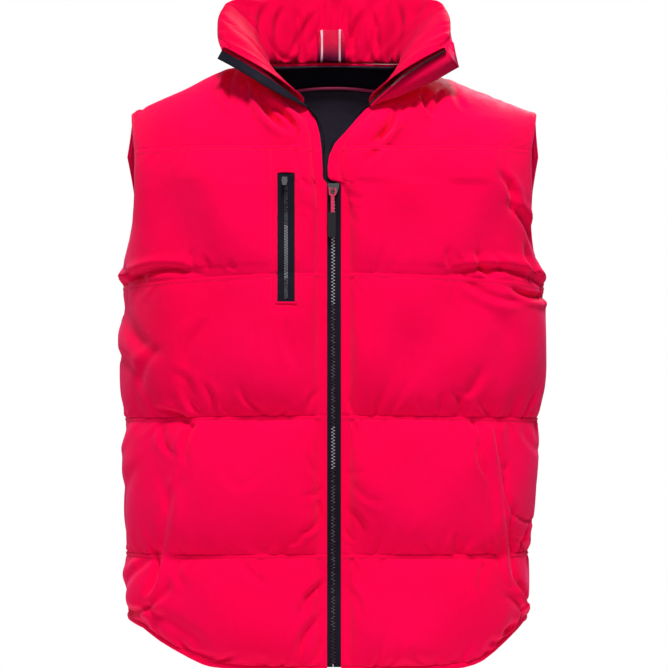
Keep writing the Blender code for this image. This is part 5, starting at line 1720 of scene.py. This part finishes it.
# %% Stitches round the pockets
FRAME_LINES = {
    "front_right": (((271.0, 149), (271.0, 306)), ((301.5, 174), (301.5, 306)),
                    ((271.5, 306.5), (301, 306.5)),
                    ((191.5, 430), (186.5, 457)), ((174, 428.5), (190, 428.5))),
    "front_left": (((476.5, 423), (481.5, 456), (488.5, 510), (495.5, 560), (500.5, 588)),
                   ((476, 420), (493, 422))),
}
for name, paths in FRAME_LINES.items():
    for path in paths:
        place, way = lay(name, *picture_path(path))
        sewn[name].append(stitches(place, way))
for name, lines in sewn.items():
    piece = add_tubes("stitching_" + name, np.concatenate(lines), red_thread)
    print(piece.name, sum(len(line) for line in lines), "stitches")

# %% [markdown]
# ## Floor and light
# A garment like this is photographed on white. A lamp above the camera shows the relief of the
# cloth, a broad weak one in front fills its shadows, and two behind light the back. The floor is
# pale and well below the hem.

# %% Floor
FLOOR_HEIGHT = -1.05
FLOOR_RADIUS = 1.25
FLOOR_SIDES = 96
mesh = bpy.data.meshes.new("floor")
rim = [(FLOOR_RADIUS * math.cos(a), FLOOR_RADIUS * math.sin(a), FLOOR_HEIGHT)
       for a in np.linspace(0, math.tau, FLOOR_SIDES, endpoint=False)]
mesh.from_pydata(rim, [], [tuple(range(FLOOR_SIDES))])
floor_material, floor_shader = new_material("floor_paint", 0.8, 0.1)
floor_shader.inputs["Base Color"].default_value = (0.88, 0.88, 0.89, 1.0)
floor_shader.inputs["Emission Color"].default_value = (1.0, 1.0, 1.0, 1.0)
floor_shader.inputs["Emission Strength"].default_value = 0.35
mesh.materials.append(floor_material)
floor = bpy.data.objects.new("floor", mesh)
bpy.context.scene.collection.objects.link(floor)
print("floor", FLOOR_HEIGHT)

# %% Sky
world = bpy.data.worlds.new("studio")
world.use_nodes = True
sky = world.node_tree.nodes["Background"]
sky.inputs["Color"].default_value = (1.0, 1.0, 1.0, 1.0)
path = add_node(world.node_tree, "ShaderNodeLightPath")
glow = add_node(world.node_tree, "ShaderNodeMapRange", To_Min=0.17, To_Max=1.0)
world.node_tree.links.new(path.outputs["Is Camera Ray"], glow.inputs["Value"])
world.node_tree.links.new(glow.outputs["Result"], sky.inputs["Strength"])
bpy.context.scene.world = world
print("sky", world.name)

# %% Lamps
LAMPS = (
    # name, place, size, watts
    ("key", (0.12, -1.7, 2.5), 0.75, 118.0),
    ("fill", (-0.2, -2.7, 0.6), 1.6, 11.0),
    ("rear_key", (0.9, 2.4, 1.5), 1.2, 52.0),
    ("rear_fill", (-1.8, 1.4, 0.5), 1.6, 16.0),
)
LAMP_AIM = Vector((0, 0, -0.3))
for name, place, size, watts in LAMPS:
    data = bpy.data.lights.new(name, "AREA")
    data.shape = "DISK"
    data.size = size
    data.energy = watts
    lamp = bpy.data.objects.new(name, data)
    lamp.location = place
    lamp.rotation_euler = (LAMP_AIM - Vector(place)).to_track_quat("-Z", "Y").to_euler()
    bpy.context.scene.collection.objects.link(lamp)
bpy.context.scene.view_settings.view_transform = "Standard"
bpy.context.scene.view_settings.look = "None"
print("lamps", len(LAMPS))
